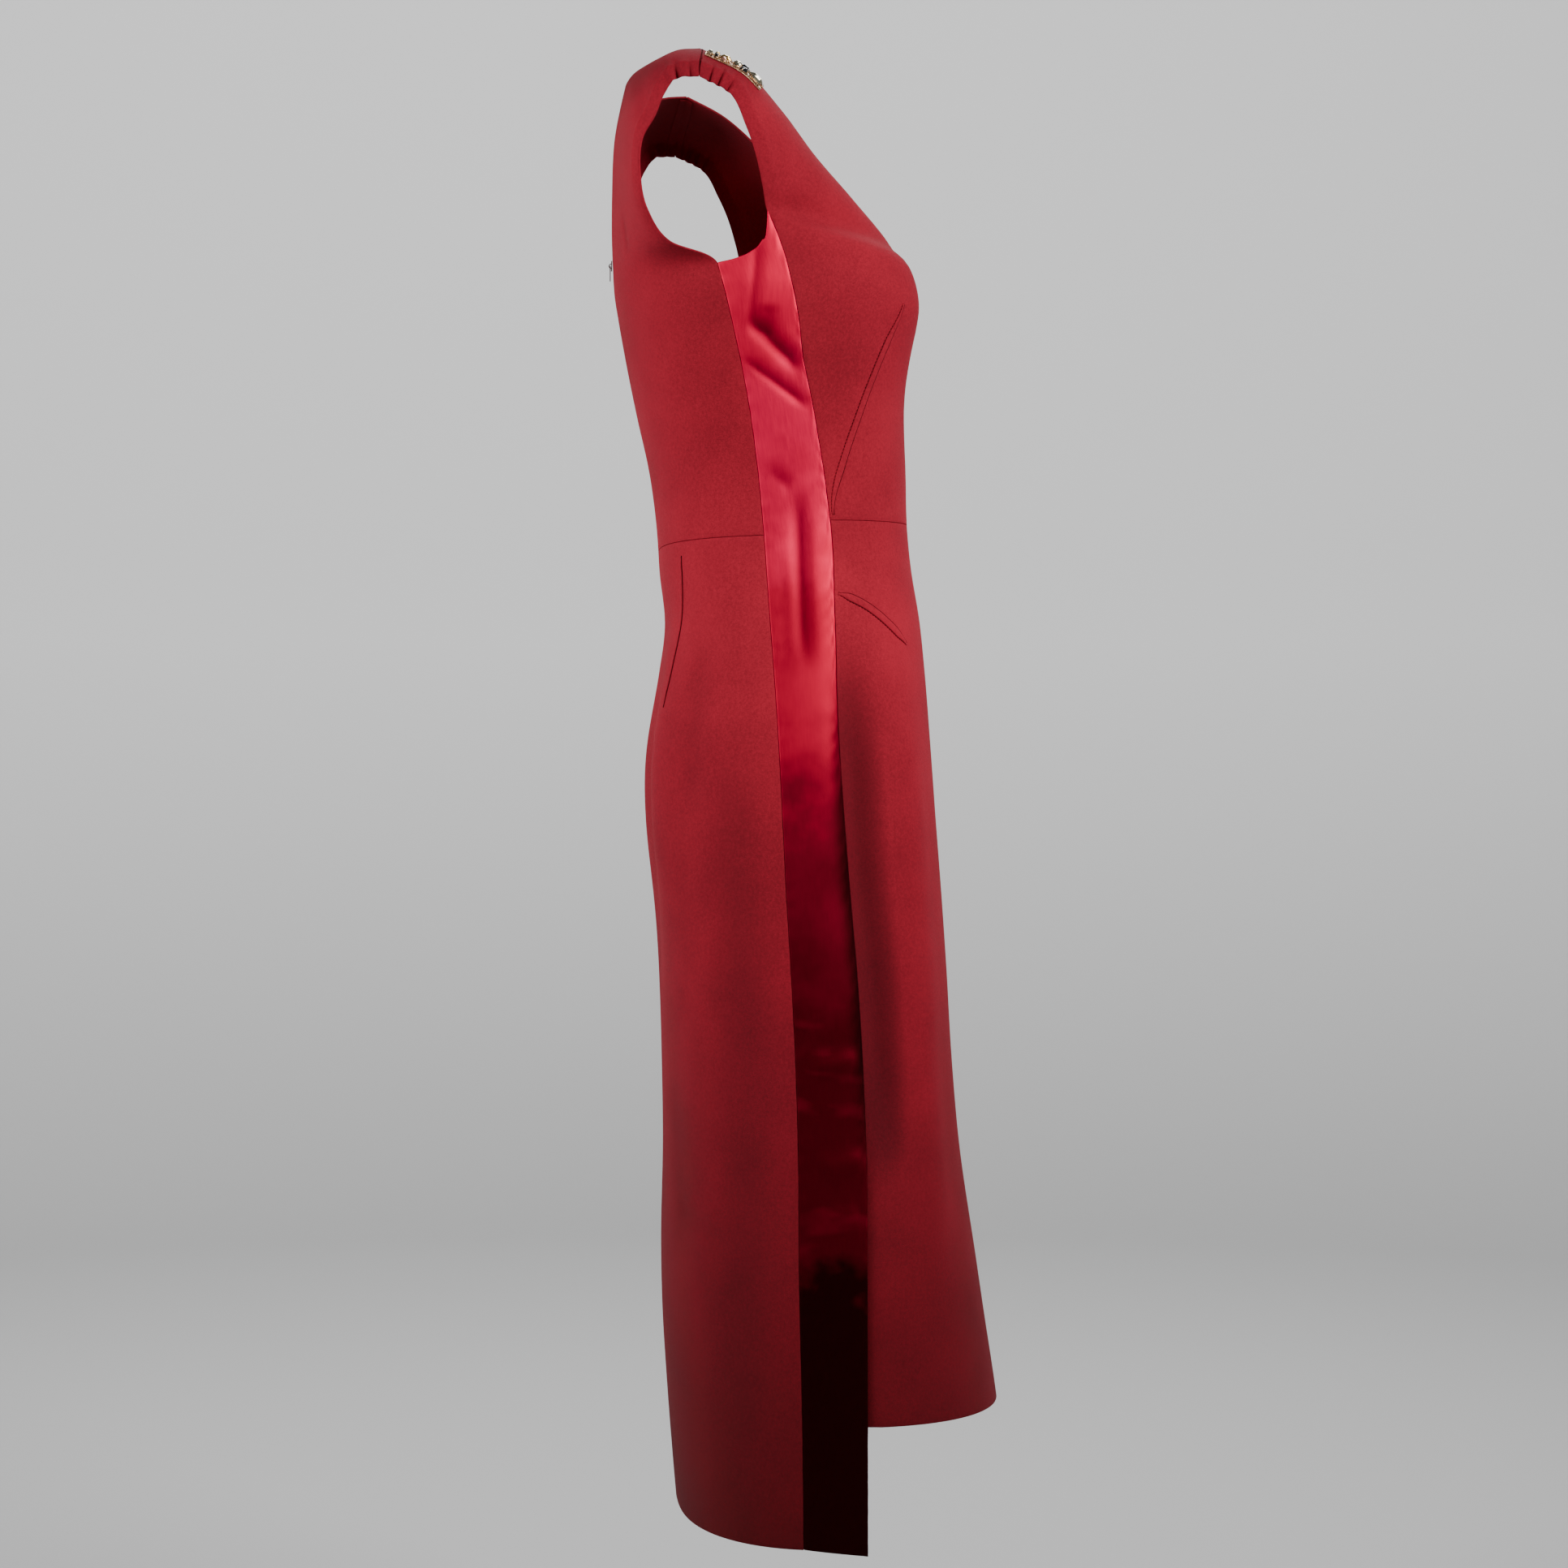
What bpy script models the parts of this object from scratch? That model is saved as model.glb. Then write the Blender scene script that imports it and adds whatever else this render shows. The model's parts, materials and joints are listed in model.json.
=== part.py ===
"""Sleeveless midi dress in its worn, hollow form.

Metres, +Z up. The front faces -Y and the wearer's right is -X. The origin is on the
midline, level with the neck-side ends of the shoulder seams, where the dress is held up.
Every panel is a cloth wall: an open surface given its thickness by Solidify.
"""

import math

import bmesh
import bpy
import numpy as np
from mathutils import Matrix

# Cloth and seams
WALL = 0.0016
SEAM_GAP = 0.0004
HALF_GAP = SEAM_GAP / 2
SHOULDER_HALF_GAP = 0.0004
MIRROR_WELD = 0.0001

# Levels, as heights above the origin
WAIST_FRONT_Z = -0.387
WAIST_SEAM_FRONT_Z = -0.391
WAIST_SEAM_BACK_Z = -0.404
WAIST_BACK_Z = -0.408
FRONT_CORNER_Z = -0.140
BACK_CORNER_Z = -0.182
NECK_POINT_Z = -0.185
SLIT_TOP_Z = -0.830
FRONT_HEM_Z = -1.130
BACK_HEM_Z = -1.224
SIDE_HEM_BACK_Z = -1.2275
SIDE_HEM_FRONT_Z = -1.2335

# Rows of the mesh below the armholes, shared by the panels that meet at a seam
BODICE_STEPS = 14
FRONT_SKIRT_STEPS = 15
SKIRT_STEPS = 17
SKIRT_SPACING_POWER = 1.4

# Columns of the mesh across each panel
FRONT_COLUMNS = 12
BACK_COLUMNS = 9
SIDE_COLUMNS = 6
SKIRT_COLUMNS = 9

# Level sections of the body of the dress. front_power is the squareness of the front half.
RINGS = (
    # z, half_width, front_y, side_y, back_y, front_power
    (-0.120, 0.1500, -0.1450, -0.0530, 0.0650, 2.6),
    (-0.150, 0.1475, -0.1620, -0.0545, 0.0648, 2.7),
    (-0.180, 0.1470, -0.1730, -0.0560, 0.0630, 2.8),
    (-0.200, 0.1480, -0.1780, -0.0580, 0.0600, 2.8),
    (-0.240, 0.1440, -0.1800, -0.0620, 0.0530, 2.8),
    (-0.290, 0.1360, -0.1820, -0.0700, 0.0430, 2.6),
    (-0.340, 0.1290, -0.1850, -0.0770, 0.0320, 2.5),
    (-0.395, 0.1270, -0.1870, -0.0820, 0.0250, 2.4),
    (-0.425, 0.1310, -0.1900, -0.0830, 0.0230, 2.4),
    (-0.470, 0.1430, -0.1970, -0.0850, 0.0175, 2.4),
    (-0.512, 0.1540, -0.2010, -0.0870, 0.0200, 2.4),
    (-0.575, 0.1660, -0.2056, -0.0880, 0.0240, 2.4),
    (-0.637, 0.1710, -0.2100, -0.0890, 0.0240, 2.4),
    (-0.703, 0.1730, -0.2150, -0.0930, 0.0230, 2.4),
    (-0.763, 0.1750, -0.2190, -0.0990, 0.0225, 2.4),
    (-0.841, 0.1770, -0.2235, -0.1030, 0.0210, 2.4),
    (-0.913, 0.1790, -0.2298, -0.1065, 0.0200, 2.4),
    (-1.010, 0.1820, -0.2442, -0.1100, 0.0215, 2.4),
    (-1.058, 0.1830, -0.2514, -0.1110, 0.0205, 2.4),
    (-1.125, 0.1850, -0.2617, -0.1120, 0.0165, 2.4),
    (-1.193, 0.1870, -0.2700, -0.1120, 0.0112, 2.4),
    (-1.235, 0.1880, -0.2750, -0.1120, 0.0075, 2.4),
)
BACK_POWER = 2.4

# Round forms that stand out of the sections: bust cups to the front and seat to the back
BUMPS = (
    # x, z, width, rise_above, fall_below, height, towards_y
    (0.090, -0.191, 0.040, 0.050, 0.048, 0.024, -1),
    (0.080, -0.612, 0.035, 0.075, 0.080, 0.018, 1),
)

# Soft folds. Angles in degrees from the middle front, the height is below 0 for a trough.
FOLDS = (
    # angle_1, z_1, angle_2, z_2, width, height
    (96.0, -0.229, 81.0, -0.268, 0.011, -0.0035),
    (97.0, -0.262, 82.0, -0.297, 0.012, -0.0020),
    (78.0, -0.520, 75.0, -0.980, 0.011, -0.0045),
    (57.0, -0.560, 55.0, -1.050, 0.020, 0.0035),
    (112.0, -0.620, 114.0, -1.080, 0.020, -0.0030),
    (150.0, -0.860, 140.0, -1.000, 0.022, -0.0030),
)
FOLD_RADIUS = 0.155
FOLD_RUN_ON = 0.15
FOLD_END = 0.35

# Side panel seams on the body: y of its front edge and of its back edge by height
SIDE_SEAM_FRONT = (
    # z, y
    (-0.140, -0.0567), (-0.167, -0.0675), (-0.201, -0.0762), (-0.230, -0.0820),
    (-0.251, -0.0847), (-0.300, -0.0955), (-0.365, -0.1070), (-0.404, -0.1115),
    (-0.470, -0.1125), (-0.545, -0.1132), (-0.635, -0.1190), (-0.700, -0.1240),
    (-0.760, -0.1285), (-0.833, -0.1330), (-0.905, -0.1352), (-1.010, -0.1353),
    (-1.127, -0.1352), (-1.235, -0.1350),
)
SIDE_SEAM_BACK = (
    # z, y
    (-0.182, -0.0160), (-0.230, -0.0280), (-0.300, -0.0430), (-0.365, -0.0520),
    (-0.404, -0.0555), (-0.470, -0.0590), (-0.545, -0.0630), (-0.635, -0.0670),
    (-0.700, -0.0700), (-0.760, -0.0735), (-0.833, -0.0770), (-0.905, -0.0790),
    (-1.010, -0.0797), (-1.127, -0.0820), (-1.235, -0.0830),
)

# Top edge of the side panel, the underarm curve, from its front corner to its back corner
UNDERARM = (
    # y, z
    (-0.0567, -0.1400), (-0.0555, -0.1540), (-0.0514, -0.1640),
    (-0.0424, -0.1730), (-0.0303, -0.1786), (-0.0160, -0.1820),
)
UNDERARM_FADE_ROWS = 5

# Upper rows of the front bodice, from the shoulder seam down. Each row is one cubic curve
# from the neckline to the armhole, and leaves each edge along the direction given.
FRONT_UPPER = (
    # neckline point, armhole point, leaves the neckline, reaches the armhole, steps to next
    ((0.0980, -0.0050, 0.0020), (0.1750, 0.0010, -0.0370),
     (0.044, 0.000, -0.012), (-0.002, 0.000, -0.021), 10),
    ((0.0960, -0.0380, -0.0160), (0.1735, -0.0240, -0.0500),
     (0.042, -0.006, -0.008), (-0.001, 0.010, -0.018), 3),
    ((0.0860, -0.0705, -0.0470), (0.1670, -0.0373, -0.0743),
     (0.042, -0.006, -0.006), (0.001, 0.018, -0.010), 3),
    ((0.0670, -0.0990, -0.0820), (0.1600, -0.0461, -0.0967),
     (0.044, -0.010, -0.004), (0.004, 0.020, -0.005), 3),
    ((0.0460, -0.1280, -0.1170), (0.1520, -0.0524, -0.1210),
     (0.046, -0.018, -0.002), (0.006, 0.022, -0.002), 2),
    ((0.0240, -0.1550, -0.1520), (0.1460, -0.0562, -0.1390),
     (0.050, -0.022, 0.000), (0.008, 0.026, 0.000), 1),
)

# Upper rows of a back bodice, from the shoulder seam down. The fifth is at the nape.
BACK_UPPER = (
    # neckline point, armhole point, leaves the neckline, reaches the armhole, steps to next
    ((0.0980, -0.0050, 0.0020), (0.1750, 0.0010, -0.0370),
     (0.044, 0.000, -0.012), (-0.002, 0.000, -0.021), 5),
    ((0.0955, 0.0120, 0.0003), (0.1750, 0.0200, -0.0390),
     (0.040, 0.004, -0.006), (-0.001, -0.006, -0.018), 3),
    ((0.0840, 0.0270, -0.0048), (0.1740, 0.0286, -0.0503),
     (0.042, 0.007, -0.006), (0.002, -0.010, -0.022), 2),
    ((0.0500, 0.0455, -0.0080), (0.1700, 0.0364, -0.0680),
     (0.050, 0.003, -0.008), (0.008, -0.012, -0.024), 2),
    ((0.0000, 0.0530, -0.0100), (0.1640, 0.0464, -0.0854),
     (0.055, 0.001, -0.006), (0.012, -0.014, -0.024), 3),
    ((0.0000, 0.0622, -0.0550), (0.1560, 0.0480, -0.1120),
     (0.055, -0.002, -0.004), (0.012, -0.016, -0.010), 2),
    ((0.0000, 0.0645, -0.1050), (0.1500, 0.0415, -0.1410),
     (0.055, -0.004, -0.002), (0.008, -0.018, -0.006), 2),
    ((0.0000, 0.0644, -0.1500), (0.1470, 0.0230, -0.1660),
     (0.055, -0.003, 0.000), (0.005, -0.028, -0.003), 2),
)
NAPE_ROW = 4
BACK_FIRST_SECTION_Z = -0.190
CORNER_FADE = 0.3

# Gathers in the armhole edge beside the shoulder seam: distance down from it, width, depth
FRONT_GATHERS = ((0.0090, 0.0024, 0.0014), (0.0170, 0.0024, 0.0013), (0.0250, 0.0026, 0.0010))
BACK_GATHERS = ((0.0070, 0.0028, 0.0008), (0.0170, 0.0032, 0.0022))
GATHER_REACH = 0.018

# Open front edge of the slit: the skirt front tucks inwards beside the side panel
SLIT_TUCK = 0.003
SLIT_TUCK_WIDTH = 0.014
SLIT_TUCK_FADE = 0.05
SLIT_MIDDLE_Z = -1.0

# Topstitched darts on the body, each a thin welt along a path of widths x at heights z,
# drawn in to a share of its width at both ends
DART_GAP = 0.0008
DART_THICKNESS = 0.0008
DART_CROWN = 0.0004
DART_END_SHARE = 0.3
DART_TAPER = 0.2
DART_ROWS = 13
DART_ACROSS = 3
NORMAL_STEP = 0.0005
DARTS = (
    # name, side, path, start_width, end_width
    ("bust_dart", "front",
     ((0.1237, -0.3865), (0.1234, -0.3500), (0.1222, -0.3150), (0.1196, -0.2800), (0.1158, -0.2450),
      (0.1067, -0.2090)),
     0.0060, 0.0054),
    ("hip_dart", "front",
     ((0.1351, -0.4525), (0.1334, -0.4556), (0.1307, -0.4602), (0.1264, -0.4673), (0.1207, -0.4755),
      (0.1136, -0.4840), (0.1051, -0.4926)),
     0.0060, 0.0076),
    ("back_dart", "back",
     ((0.0780, -0.4180), (0.0770, -0.4700), (0.0750, -0.5450)),
     0.0060, 0.0025),
)

# Jewelled ornament on each strap: setting outline and stones, placed by the distance down
# from the shoulder seam and the distance in from the neckline
SETTING_THICKNESS = 0.0010
SETTING_GAP = 0.0004
SETTING_START = 0.0025
SETTING_END = 0.0540
SETTING_MIDDLE = 0.0558
SETTING_WIDTH = 0.0190
SETTING_ROWS = 11
SETTING_COLUMNS = 4
SETTING_END_SHARE = 0.45
SETTING_ARC = (0.12, 0.92)
SETTING_FULLNESS = 0.7
STONE_LIFT = 0.0003
FRAME_STEP = 0.001
STONES = (
    # name, cut, down, inward, length, width, height, turn, look
    ("stone_drop", "navette", 0.0456, 0.0559, 0.0155, 0.0080, 0.0042, 0.0, "clear_stone"),
    ("stone_leaf_upper", "navette", 0.0346, 0.0506, 0.0095, 0.0044, 0.0032, 35.0, "black_stone"),
    ("stone_leaf_lower", "navette", 0.0344, 0.0614, 0.0090, 0.0042, 0.0032, -35.0, "black_stone"),
    ("stone_heart", "round", 0.0282, 0.0556, 0.0080, 0.0072, 0.0038, 0.0, "clear_stone"),
    ("stone_oval", "navette", 0.0186, 0.0540, 0.0100, 0.0056, 0.0036, 12.0, "gold_stone"),
    ("stone_rose", "round", 0.0176, 0.0606, 0.0048, 0.0048, 0.0028, 0.0, "rose_stone"),
    ("stone_gold_upper", "round", 0.0116, 0.0510, 0.0050, 0.0050, 0.0034, 0.0, "gold_stone"),
    ("stone_black_round", "round", 0.0114, 0.0576, 0.0044, 0.0044, 0.0030, 0.0, "black_stone"),
    ("stone_fan", "navette", 0.0060, 0.0550, 0.0090, 0.0046, 0.0032, 84.0, "clear_stone"),
)
STONE_SIDES = {"navette": 10, "round": 8}
NAVETTE_POINT = 0.35
STONE_RINGS = (
    # share of the outline, share of the height
    (0.80, 0.0), (1.0, 0.35), (0.84, 0.72), (0.45, 1.0),
)

# Zip slider and its pull tab at the middle back
SLIDER_TOP_Z = -0.1600
SLIDER_LENGTH = 0.0090
SLIDER_WIDTH = 0.0052
SLIDER_BASE = 0.0008
SLIDER_GAP = 0.0004
SLIDER_CORNER = 0.0014
BRIDGE_HEIGHT = 0.0016
BRIDGE_BAR = 0.0007
BRIDGE_HALF_LENGTH = 0.0019
BRIDGE_WIDTH = 0.0012
PULL_THICKNESS = 0.0008
PULL_HALF_WIDTH = 0.0024
PULL_LENGTH = 0.0135
PULL_EYE_HALF_WIDTH = 0.0011
PULL_EYE_LENGTH = 0.0034
PULL_BAR = 0.0008
PULL_CORNER = 0.0006
PULL_EYE_CORNER = 0.0002
JOIN_SCALE = 1000.0
WELD = 0.00001

LOOKS = {
    "crepe": ((0.30, 0.020, 0.028, 1.0), 0.75, 0.0),
    "satin": ((0.52, 0.020, 0.045, 1.0), 0.30, 0.0),
    "stitched_crepe": ((0.27, 0.016, 0.024, 1.0), 0.70, 0.0),
    "setting_metal": ((0.45, 0.38, 0.28, 1.0), 0.35, 1.0),
    "clear_stone": ((0.86, 0.86, 0.84, 1.0), 0.08, 0.0),
    "black_stone": ((0.02, 0.02, 0.025, 1.0), 0.12, 0.0),
    "gold_stone": ((0.70, 0.52, 0.28, 1.0), 0.15, 0.3),
    "rose_stone": ((0.80, 0.60, 0.55, 1.0), 0.12, 0.0),
    "enamelled_metal": ((0.12, 0.010, 0.016, 1.0), 0.35, 0.6),
}


def clear_scene():
    """Empty the scene of the objects it starts with."""
    for thing in list(bpy.data.objects):
        bpy.data.objects.remove(thing, do_unlink=True)


def material_for(look):
    """The Principled material of one finish, made the first time it is asked for."""
    material = bpy.data.materials.get(look)
    if material is None:
        colour, roughness, metallic = LOOKS[look]
        material = bpy.data.materials.new(look)
        material.use_nodes = True
        shader = material.node_tree.nodes["Principled BSDF"]
        shader.inputs["Base Color"].default_value = colour
        shader.inputs["Roughness"].default_value = roughness
        shader.inputs["Metallic"].default_value = metallic
    return material


def new_object(name, mesh, look):
    """Put a mesh into the dress collection as one named object with its finish."""
    thing = bpy.data.objects.new(name, mesh)
    DRESS.objects.link(thing)
    mesh.materials.append(material_for(look))
    return thing


def smooth_step(t):
    """Rises smoothly from 0 to 1 as t goes from 0 to 1."""
    t = np.clip(t, 0.0, 1.0)
    return t * t * (3.0 - 2.0 * t)


def smooth_table(at, stations, values, slopes=None):
    """Smooth curve through a table: cubic pieces whose slopes are the table's own gradients."""
    at = np.asarray(at, dtype=float)
    if slopes is None:
        slopes = np.gradient(values, stations, axis=0)
    piece = np.clip(np.searchsorted(stations, at, side="right") - 1, 0, len(stations) - 2)
    step = stations[piece + 1] - stations[piece]
    t = np.clip((at - stations[piece]) / step, 0.0, 1.0)
    spare_axes = (1,) * (values.ndim - 1)
    t = t.reshape(t.shape + spare_axes)
    step = step.reshape(step.shape + spare_axes)
    start_share = 2 * t**3 - 3 * t**2 + 1
    end_share = 3 * t**2 - 2 * t**3
    start_pull = (t**3 - 2 * t**2 + t) * step
    end_pull = (t**3 - t**2) * step
    return (start_share * values[piece] + end_share * values[piece + 1]
            + start_pull * slopes[piece] + end_pull * slopes[piece + 1])


def table_by_height(rows):
    """Heights in rising order, and the other columns beside them."""
    table = np.array(rows, dtype=float)[::-1]
    return table[:, 0], table[:, 1:]


RING_HEIGHTS, RING_SIZES = table_by_height(RINGS)
FRONT_SEAM_HEIGHTS, FRONT_SEAM_Y = table_by_height(SIDE_SEAM_FRONT)
BACK_SEAM_HEIGHTS, BACK_SEAM_Y = table_by_height(SIDE_SEAM_BACK)


def ring_half(z, towards_front):
    """Half width, middle y, depth and squareness of the front or back half of a section."""
    sizes = smooth_table(z, RING_HEIGHTS, RING_SIZES)
    half_width, front_y, side_y, back_y, front_power = np.moveaxis(sizes, -1, 0)
    depth = np.where(towards_front, side_y - front_y, back_y - side_y)
    power = np.where(towards_front, front_power, BACK_POWER)
    return half_width, side_y, depth, power


def fold_height(z, angle):
    """How far the folds move the body outwards: a soft ridge or trough along each line."""
    total = np.zeros(np.broadcast(z, angle).shape)
    for angle_1, z_1, angle_2, z_2, width, height in FOLDS:
        start = np.array((math.radians(angle_1) * FOLD_RADIUS, z_1))
        run = np.array((math.radians(angle_2) * FOLD_RADIUS, z_2)) - start
        length = np.hypot(*run)
        along_x, along_z = run / length
        from_x = angle * FOLD_RADIUS - start[0]
        from_z = z - start[1]
        along = (from_x * along_x + from_z * along_z) / length
        across = from_x * along_z - from_z * along_x
        start_fade = smooth_step((along + FOLD_RUN_ON) / FOLD_END)
        end_fade = smooth_step((1.0 + FOLD_RUN_ON - along) / FOLD_END)
        total = total + height * start_fade * end_fade * np.exp(-(across / width) ** 2)
    return total


def with_bumps(points, towards_front):
    """Move points out along y over the bust and the seat, less where they face sideways."""
    x, y, z = np.moveaxis(points, -1, 0)
    for bump_x, bump_z, width, rise, fall, height, towards_y in BUMPS:
        spread = np.where(z > bump_z, rise, fall)
        facing = np.maximum(-towards_y * towards_front, 0.0)
        bump = np.exp(-((x - bump_x) / width) ** 2 / 2 - ((z - bump_z) / spread) ** 2 / 2)
        y = y + towards_y * height * facing * bump
    return np.stack((x, y, z), axis=-1)


def body_point(z, angle):
    """Point of the dress at height z and angle round it, 0 at the front and pi at the back.

    The section is a rounded rectangle, (sin/width)^p + (cos/depth)^p = 1, moved by the folds
    along its radius and by the bust and seat along y.
    """
    z, angle = np.broadcast_arrays(np.asarray(z, dtype=float), np.asarray(angle, dtype=float))
    half_width, side_y, depth, power = ring_half(z, np.cos(angle) >= 0)
    radius = ((np.abs(np.sin(angle)) / half_width) ** power
              + (np.abs(np.cos(angle)) / depth) ** power) ** (-1.0 / power)
    radius = radius + fold_height(z, angle)
    points = np.stack((radius * np.sin(angle), side_y - radius * np.cos(angle), z), axis=-1)
    return with_bumps(points, np.cos(angle))


def angle_at_y(z, y):
    """Angle round the body where its section at height z reaches y."""
    side_y = ring_half(z, True)[1]
    half_width, side_y, depth, power = ring_half(z, y < side_y)
    across = half_width * (1.0 - (np.abs(y - side_y) / depth) ** power) ** (1.0 / power)
    return np.arctan2(across, side_y - y)


def angle_at_x(z, x, towards_front):
    """Angle round the body where its front or back half at height z is x wide."""
    half_width, side_y, depth, power = ring_half(z, towards_front)
    out = depth * (1.0 - (np.abs(x) / half_width) ** power) ** (1.0 / power)
    return np.arctan2(x, out if towards_front else -out)


def front_seam_angle(z):
    """Angle of the side panel's front seam at height z."""
    return angle_at_y(z, smooth_table(z, FRONT_SEAM_HEIGHTS, FRONT_SEAM_Y)[..., 0])


def back_seam_angle(z):
    """Angle of the side panel's back seam at height z."""
    return angle_at_y(z, smooth_table(z, BACK_SEAM_HEIGHTS, BACK_SEAM_Y)[..., 0])


def gap_angle(z):
    """Half a seam gap as an angle round the body."""
    return HALF_GAP / ring_half(z, True)[0]


def bezier_rows(table, across):
    """One cubic curve for each row of a table, read at the given fractions across."""
    rows = []
    t = across[:, None]
    for start, end, leaving, reaching, _ in table:
        start = np.array(start)
        end = np.array(end)
        first = start + np.array(leaving)
        second = end - np.array(reaching)
        points = ((1 - t)**3 * start + 3 * (1 - t)**2 * t * first
                  + 3 * (1 - t) * t**2 * second + t**3 * end)
        side_y = RING_SIZES[-1, 2]
        from_side = side_y - points[:, 1]
        rows.append(with_bumps(points, from_side / np.hypot(points[:, 0], from_side)))
    return rows


def section_rows(inner_z, outer_z, outer_angle, inner_angle, across):
    """Rows of the body between two angles, each running from its inner to its outer height."""
    rows = []
    for z_in, z_out, angle_in, angle_out in zip(inner_z, outer_z, inner_angle, outer_angle):
        z = z_in + (z_out - z_in) * across
        rows.append(body_point(z, angle_in + (angle_out - angle_in) * across))
    return rows


def seam_heights(top, bottom, steps, power=1.0):
    """Heights of the mesh rows along one seam, both ends included."""
    return top + (bottom - top) * np.linspace(0.0, 1.0, steps + 1) ** power


FRONT_SEAM_ROWS = seam_heights(FRONT_CORNER_Z, WAIST_SEAM_FRONT_Z, BODICE_STEPS)
BACK_SEAM_ROWS = seam_heights(BACK_CORNER_Z, WAIST_SEAM_BACK_Z, BODICE_STEPS)
FRONT_SKIRT_ROWS = seam_heights(
    WAIST_SEAM_FRONT_Z, FRONT_HEM_Z, FRONT_SKIRT_STEPS, SKIRT_SPACING_POWER)
BACK_SKIRT_ROWS = seam_heights(
    WAIST_SEAM_BACK_Z, SIDE_HEM_BACK_Z, SKIRT_STEPS, SKIRT_SPACING_POWER)


def loft(keys, steps, corner):
    """Smooth surface through key rows, with the given number of steps between them.

    Stations are the mean distances from row to row. At the corner row the surface keeps a
    sharp corner in its inner edge, so its slope there fades to nothing.
    """
    keys = np.array(keys)
    distance = np.linalg.norm(np.diff(keys, axis=0), axis=2).mean(axis=1)
    stations = np.concatenate(([0.0], np.cumsum(distance)))
    slopes = np.gradient(keys, stations, axis=0)
    fade = smooth_step(np.linspace(0.0, 1.0, keys.shape[1]) / CORNER_FADE)
    slopes[corner] = slopes[corner] * fade[:, None]
    at = [stations[0]]
    for row, count in enumerate(steps):
        at.extend(np.linspace(stations[row], stations[row + 1], count + 1)[1:])
    return smooth_table(np.array(at), stations, keys, slopes), np.array(at)


def grid_normals(points):
    """Unit normals of a grid, pointing away from the wearer on the left half of the dress."""
    down = np.gradient(points, axis=0)
    across = np.gradient(points, axis=1)
    normals = np.cross(down, across)
    return normals / np.linalg.norm(normals, axis=2, keepdims=True)


def gather(points, gathers, outward):
    """Press soft troughs into the armhole edge beside the shoulder seam."""
    edge = points[:, -1]
    down = np.concatenate(([0.0], np.cumsum(np.linalg.norm(np.diff(edge, axis=0), axis=1))))
    from_edge = np.linalg.norm(points - edge[:, None], axis=2)
    depth = np.zeros(points.shape[:2])
    for distance, width, trough in gathers:
        depth += trough * np.exp(-((down[:, None] - distance) / width) ** 2)
    depth *= np.exp(-(from_edge / GATHER_REACH) ** 2)
    return points - outward * depth[..., None] * grid_normals(points)


def front_bodice_points(across):
    """Grid of the left half of the front bodice, from the shoulder seam to the waist."""
    keys = bezier_rows(FRONT_UPPER, across)
    inner_z = seam_heights(NECK_POINT_Z, WAIST_FRONT_Z, BODICE_STEPS - 1)
    outer_z = FRONT_SEAM_ROWS[1:].copy()
    inner_z[-1] += HALF_GAP
    outer_z[-1] += HALF_GAP
    outer_angle = front_seam_angle(outer_z) - gap_angle(outer_z)
    keys += section_rows(inner_z, outer_z, outer_angle, np.zeros(BODICE_STEPS), across)
    steps = [row[-1] for row in FRONT_UPPER] + [1] * (BODICE_STEPS - 1)
    points, stations = loft(keys, steps, corner=len(FRONT_UPPER))
    points[0, :, 1] -= SHOULDER_HALF_GAP
    return gather(points, FRONT_GATHERS, 1.0), stations


def back_bodice_points(across):
    """Grid of the left back bodice, from the shoulder seam to the waist."""
    keys = bezier_rows(BACK_UPPER, across)
    inner_z = seam_heights(BACK_FIRST_SECTION_Z, WAIST_BACK_Z, BODICE_STEPS)
    outer_z = BACK_SEAM_ROWS.copy()
    inner_z[-1] += HALF_GAP
    outer_z[-1] += HALF_GAP
    outer_angle = back_seam_angle(outer_z) + gap_angle(outer_z)
    inner_angle = np.full(BODICE_STEPS + 1, math.pi)
    keys += section_rows(inner_z, outer_z, outer_angle, inner_angle, across)
    steps = [row[-1] for row in BACK_UPPER] + [1] * BODICE_STEPS
    points, _ = loft(keys, steps, corner=NAPE_ROW)
    points[0, :, 1] += SHOULDER_HALF_GAP
    points[:, 0, 0] = np.maximum(points[:, 0, 0], HALF_GAP)
    return gather(points, BACK_GATHERS, -1.0)


def front_skirt_points(across):
    """Grid of the left half of the front skirt, with the free edge of the slit tucked in."""
    outer_z = FRONT_SKIRT_ROWS.copy()
    inner_z = seam_heights(WAIST_FRONT_Z, FRONT_HEM_Z, FRONT_SKIRT_STEPS, SKIRT_SPACING_POWER)
    inner_z[0] -= HALF_GAP
    outer_z[0] -= HALF_GAP
    outer_angle = front_seam_angle(outer_z) - gap_angle(outer_z)
    points = np.array(section_rows(inner_z, outer_z, outer_angle, np.zeros(len(inner_z)), across))
    from_edge = np.linalg.norm(points - points[:, -1:], axis=2)
    tuck = SLIT_TUCK * smooth_step(1.0 - from_edge / SLIT_TUCK_WIDTH)
    tuck = tuck * smooth_step((SLIT_TOP_Z - points[..., 2]) / SLIT_TUCK_FADE)
    middle_y = float(ring_half(SLIT_MIDDLE_Z, True)[1])
    inward = np.stack((-points[..., 0], middle_y - points[..., 1], np.zeros_like(tuck)), axis=-1)
    inward = inward / np.linalg.norm(inward, axis=2, keepdims=True)
    return points + inward * tuck[..., None]


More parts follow.
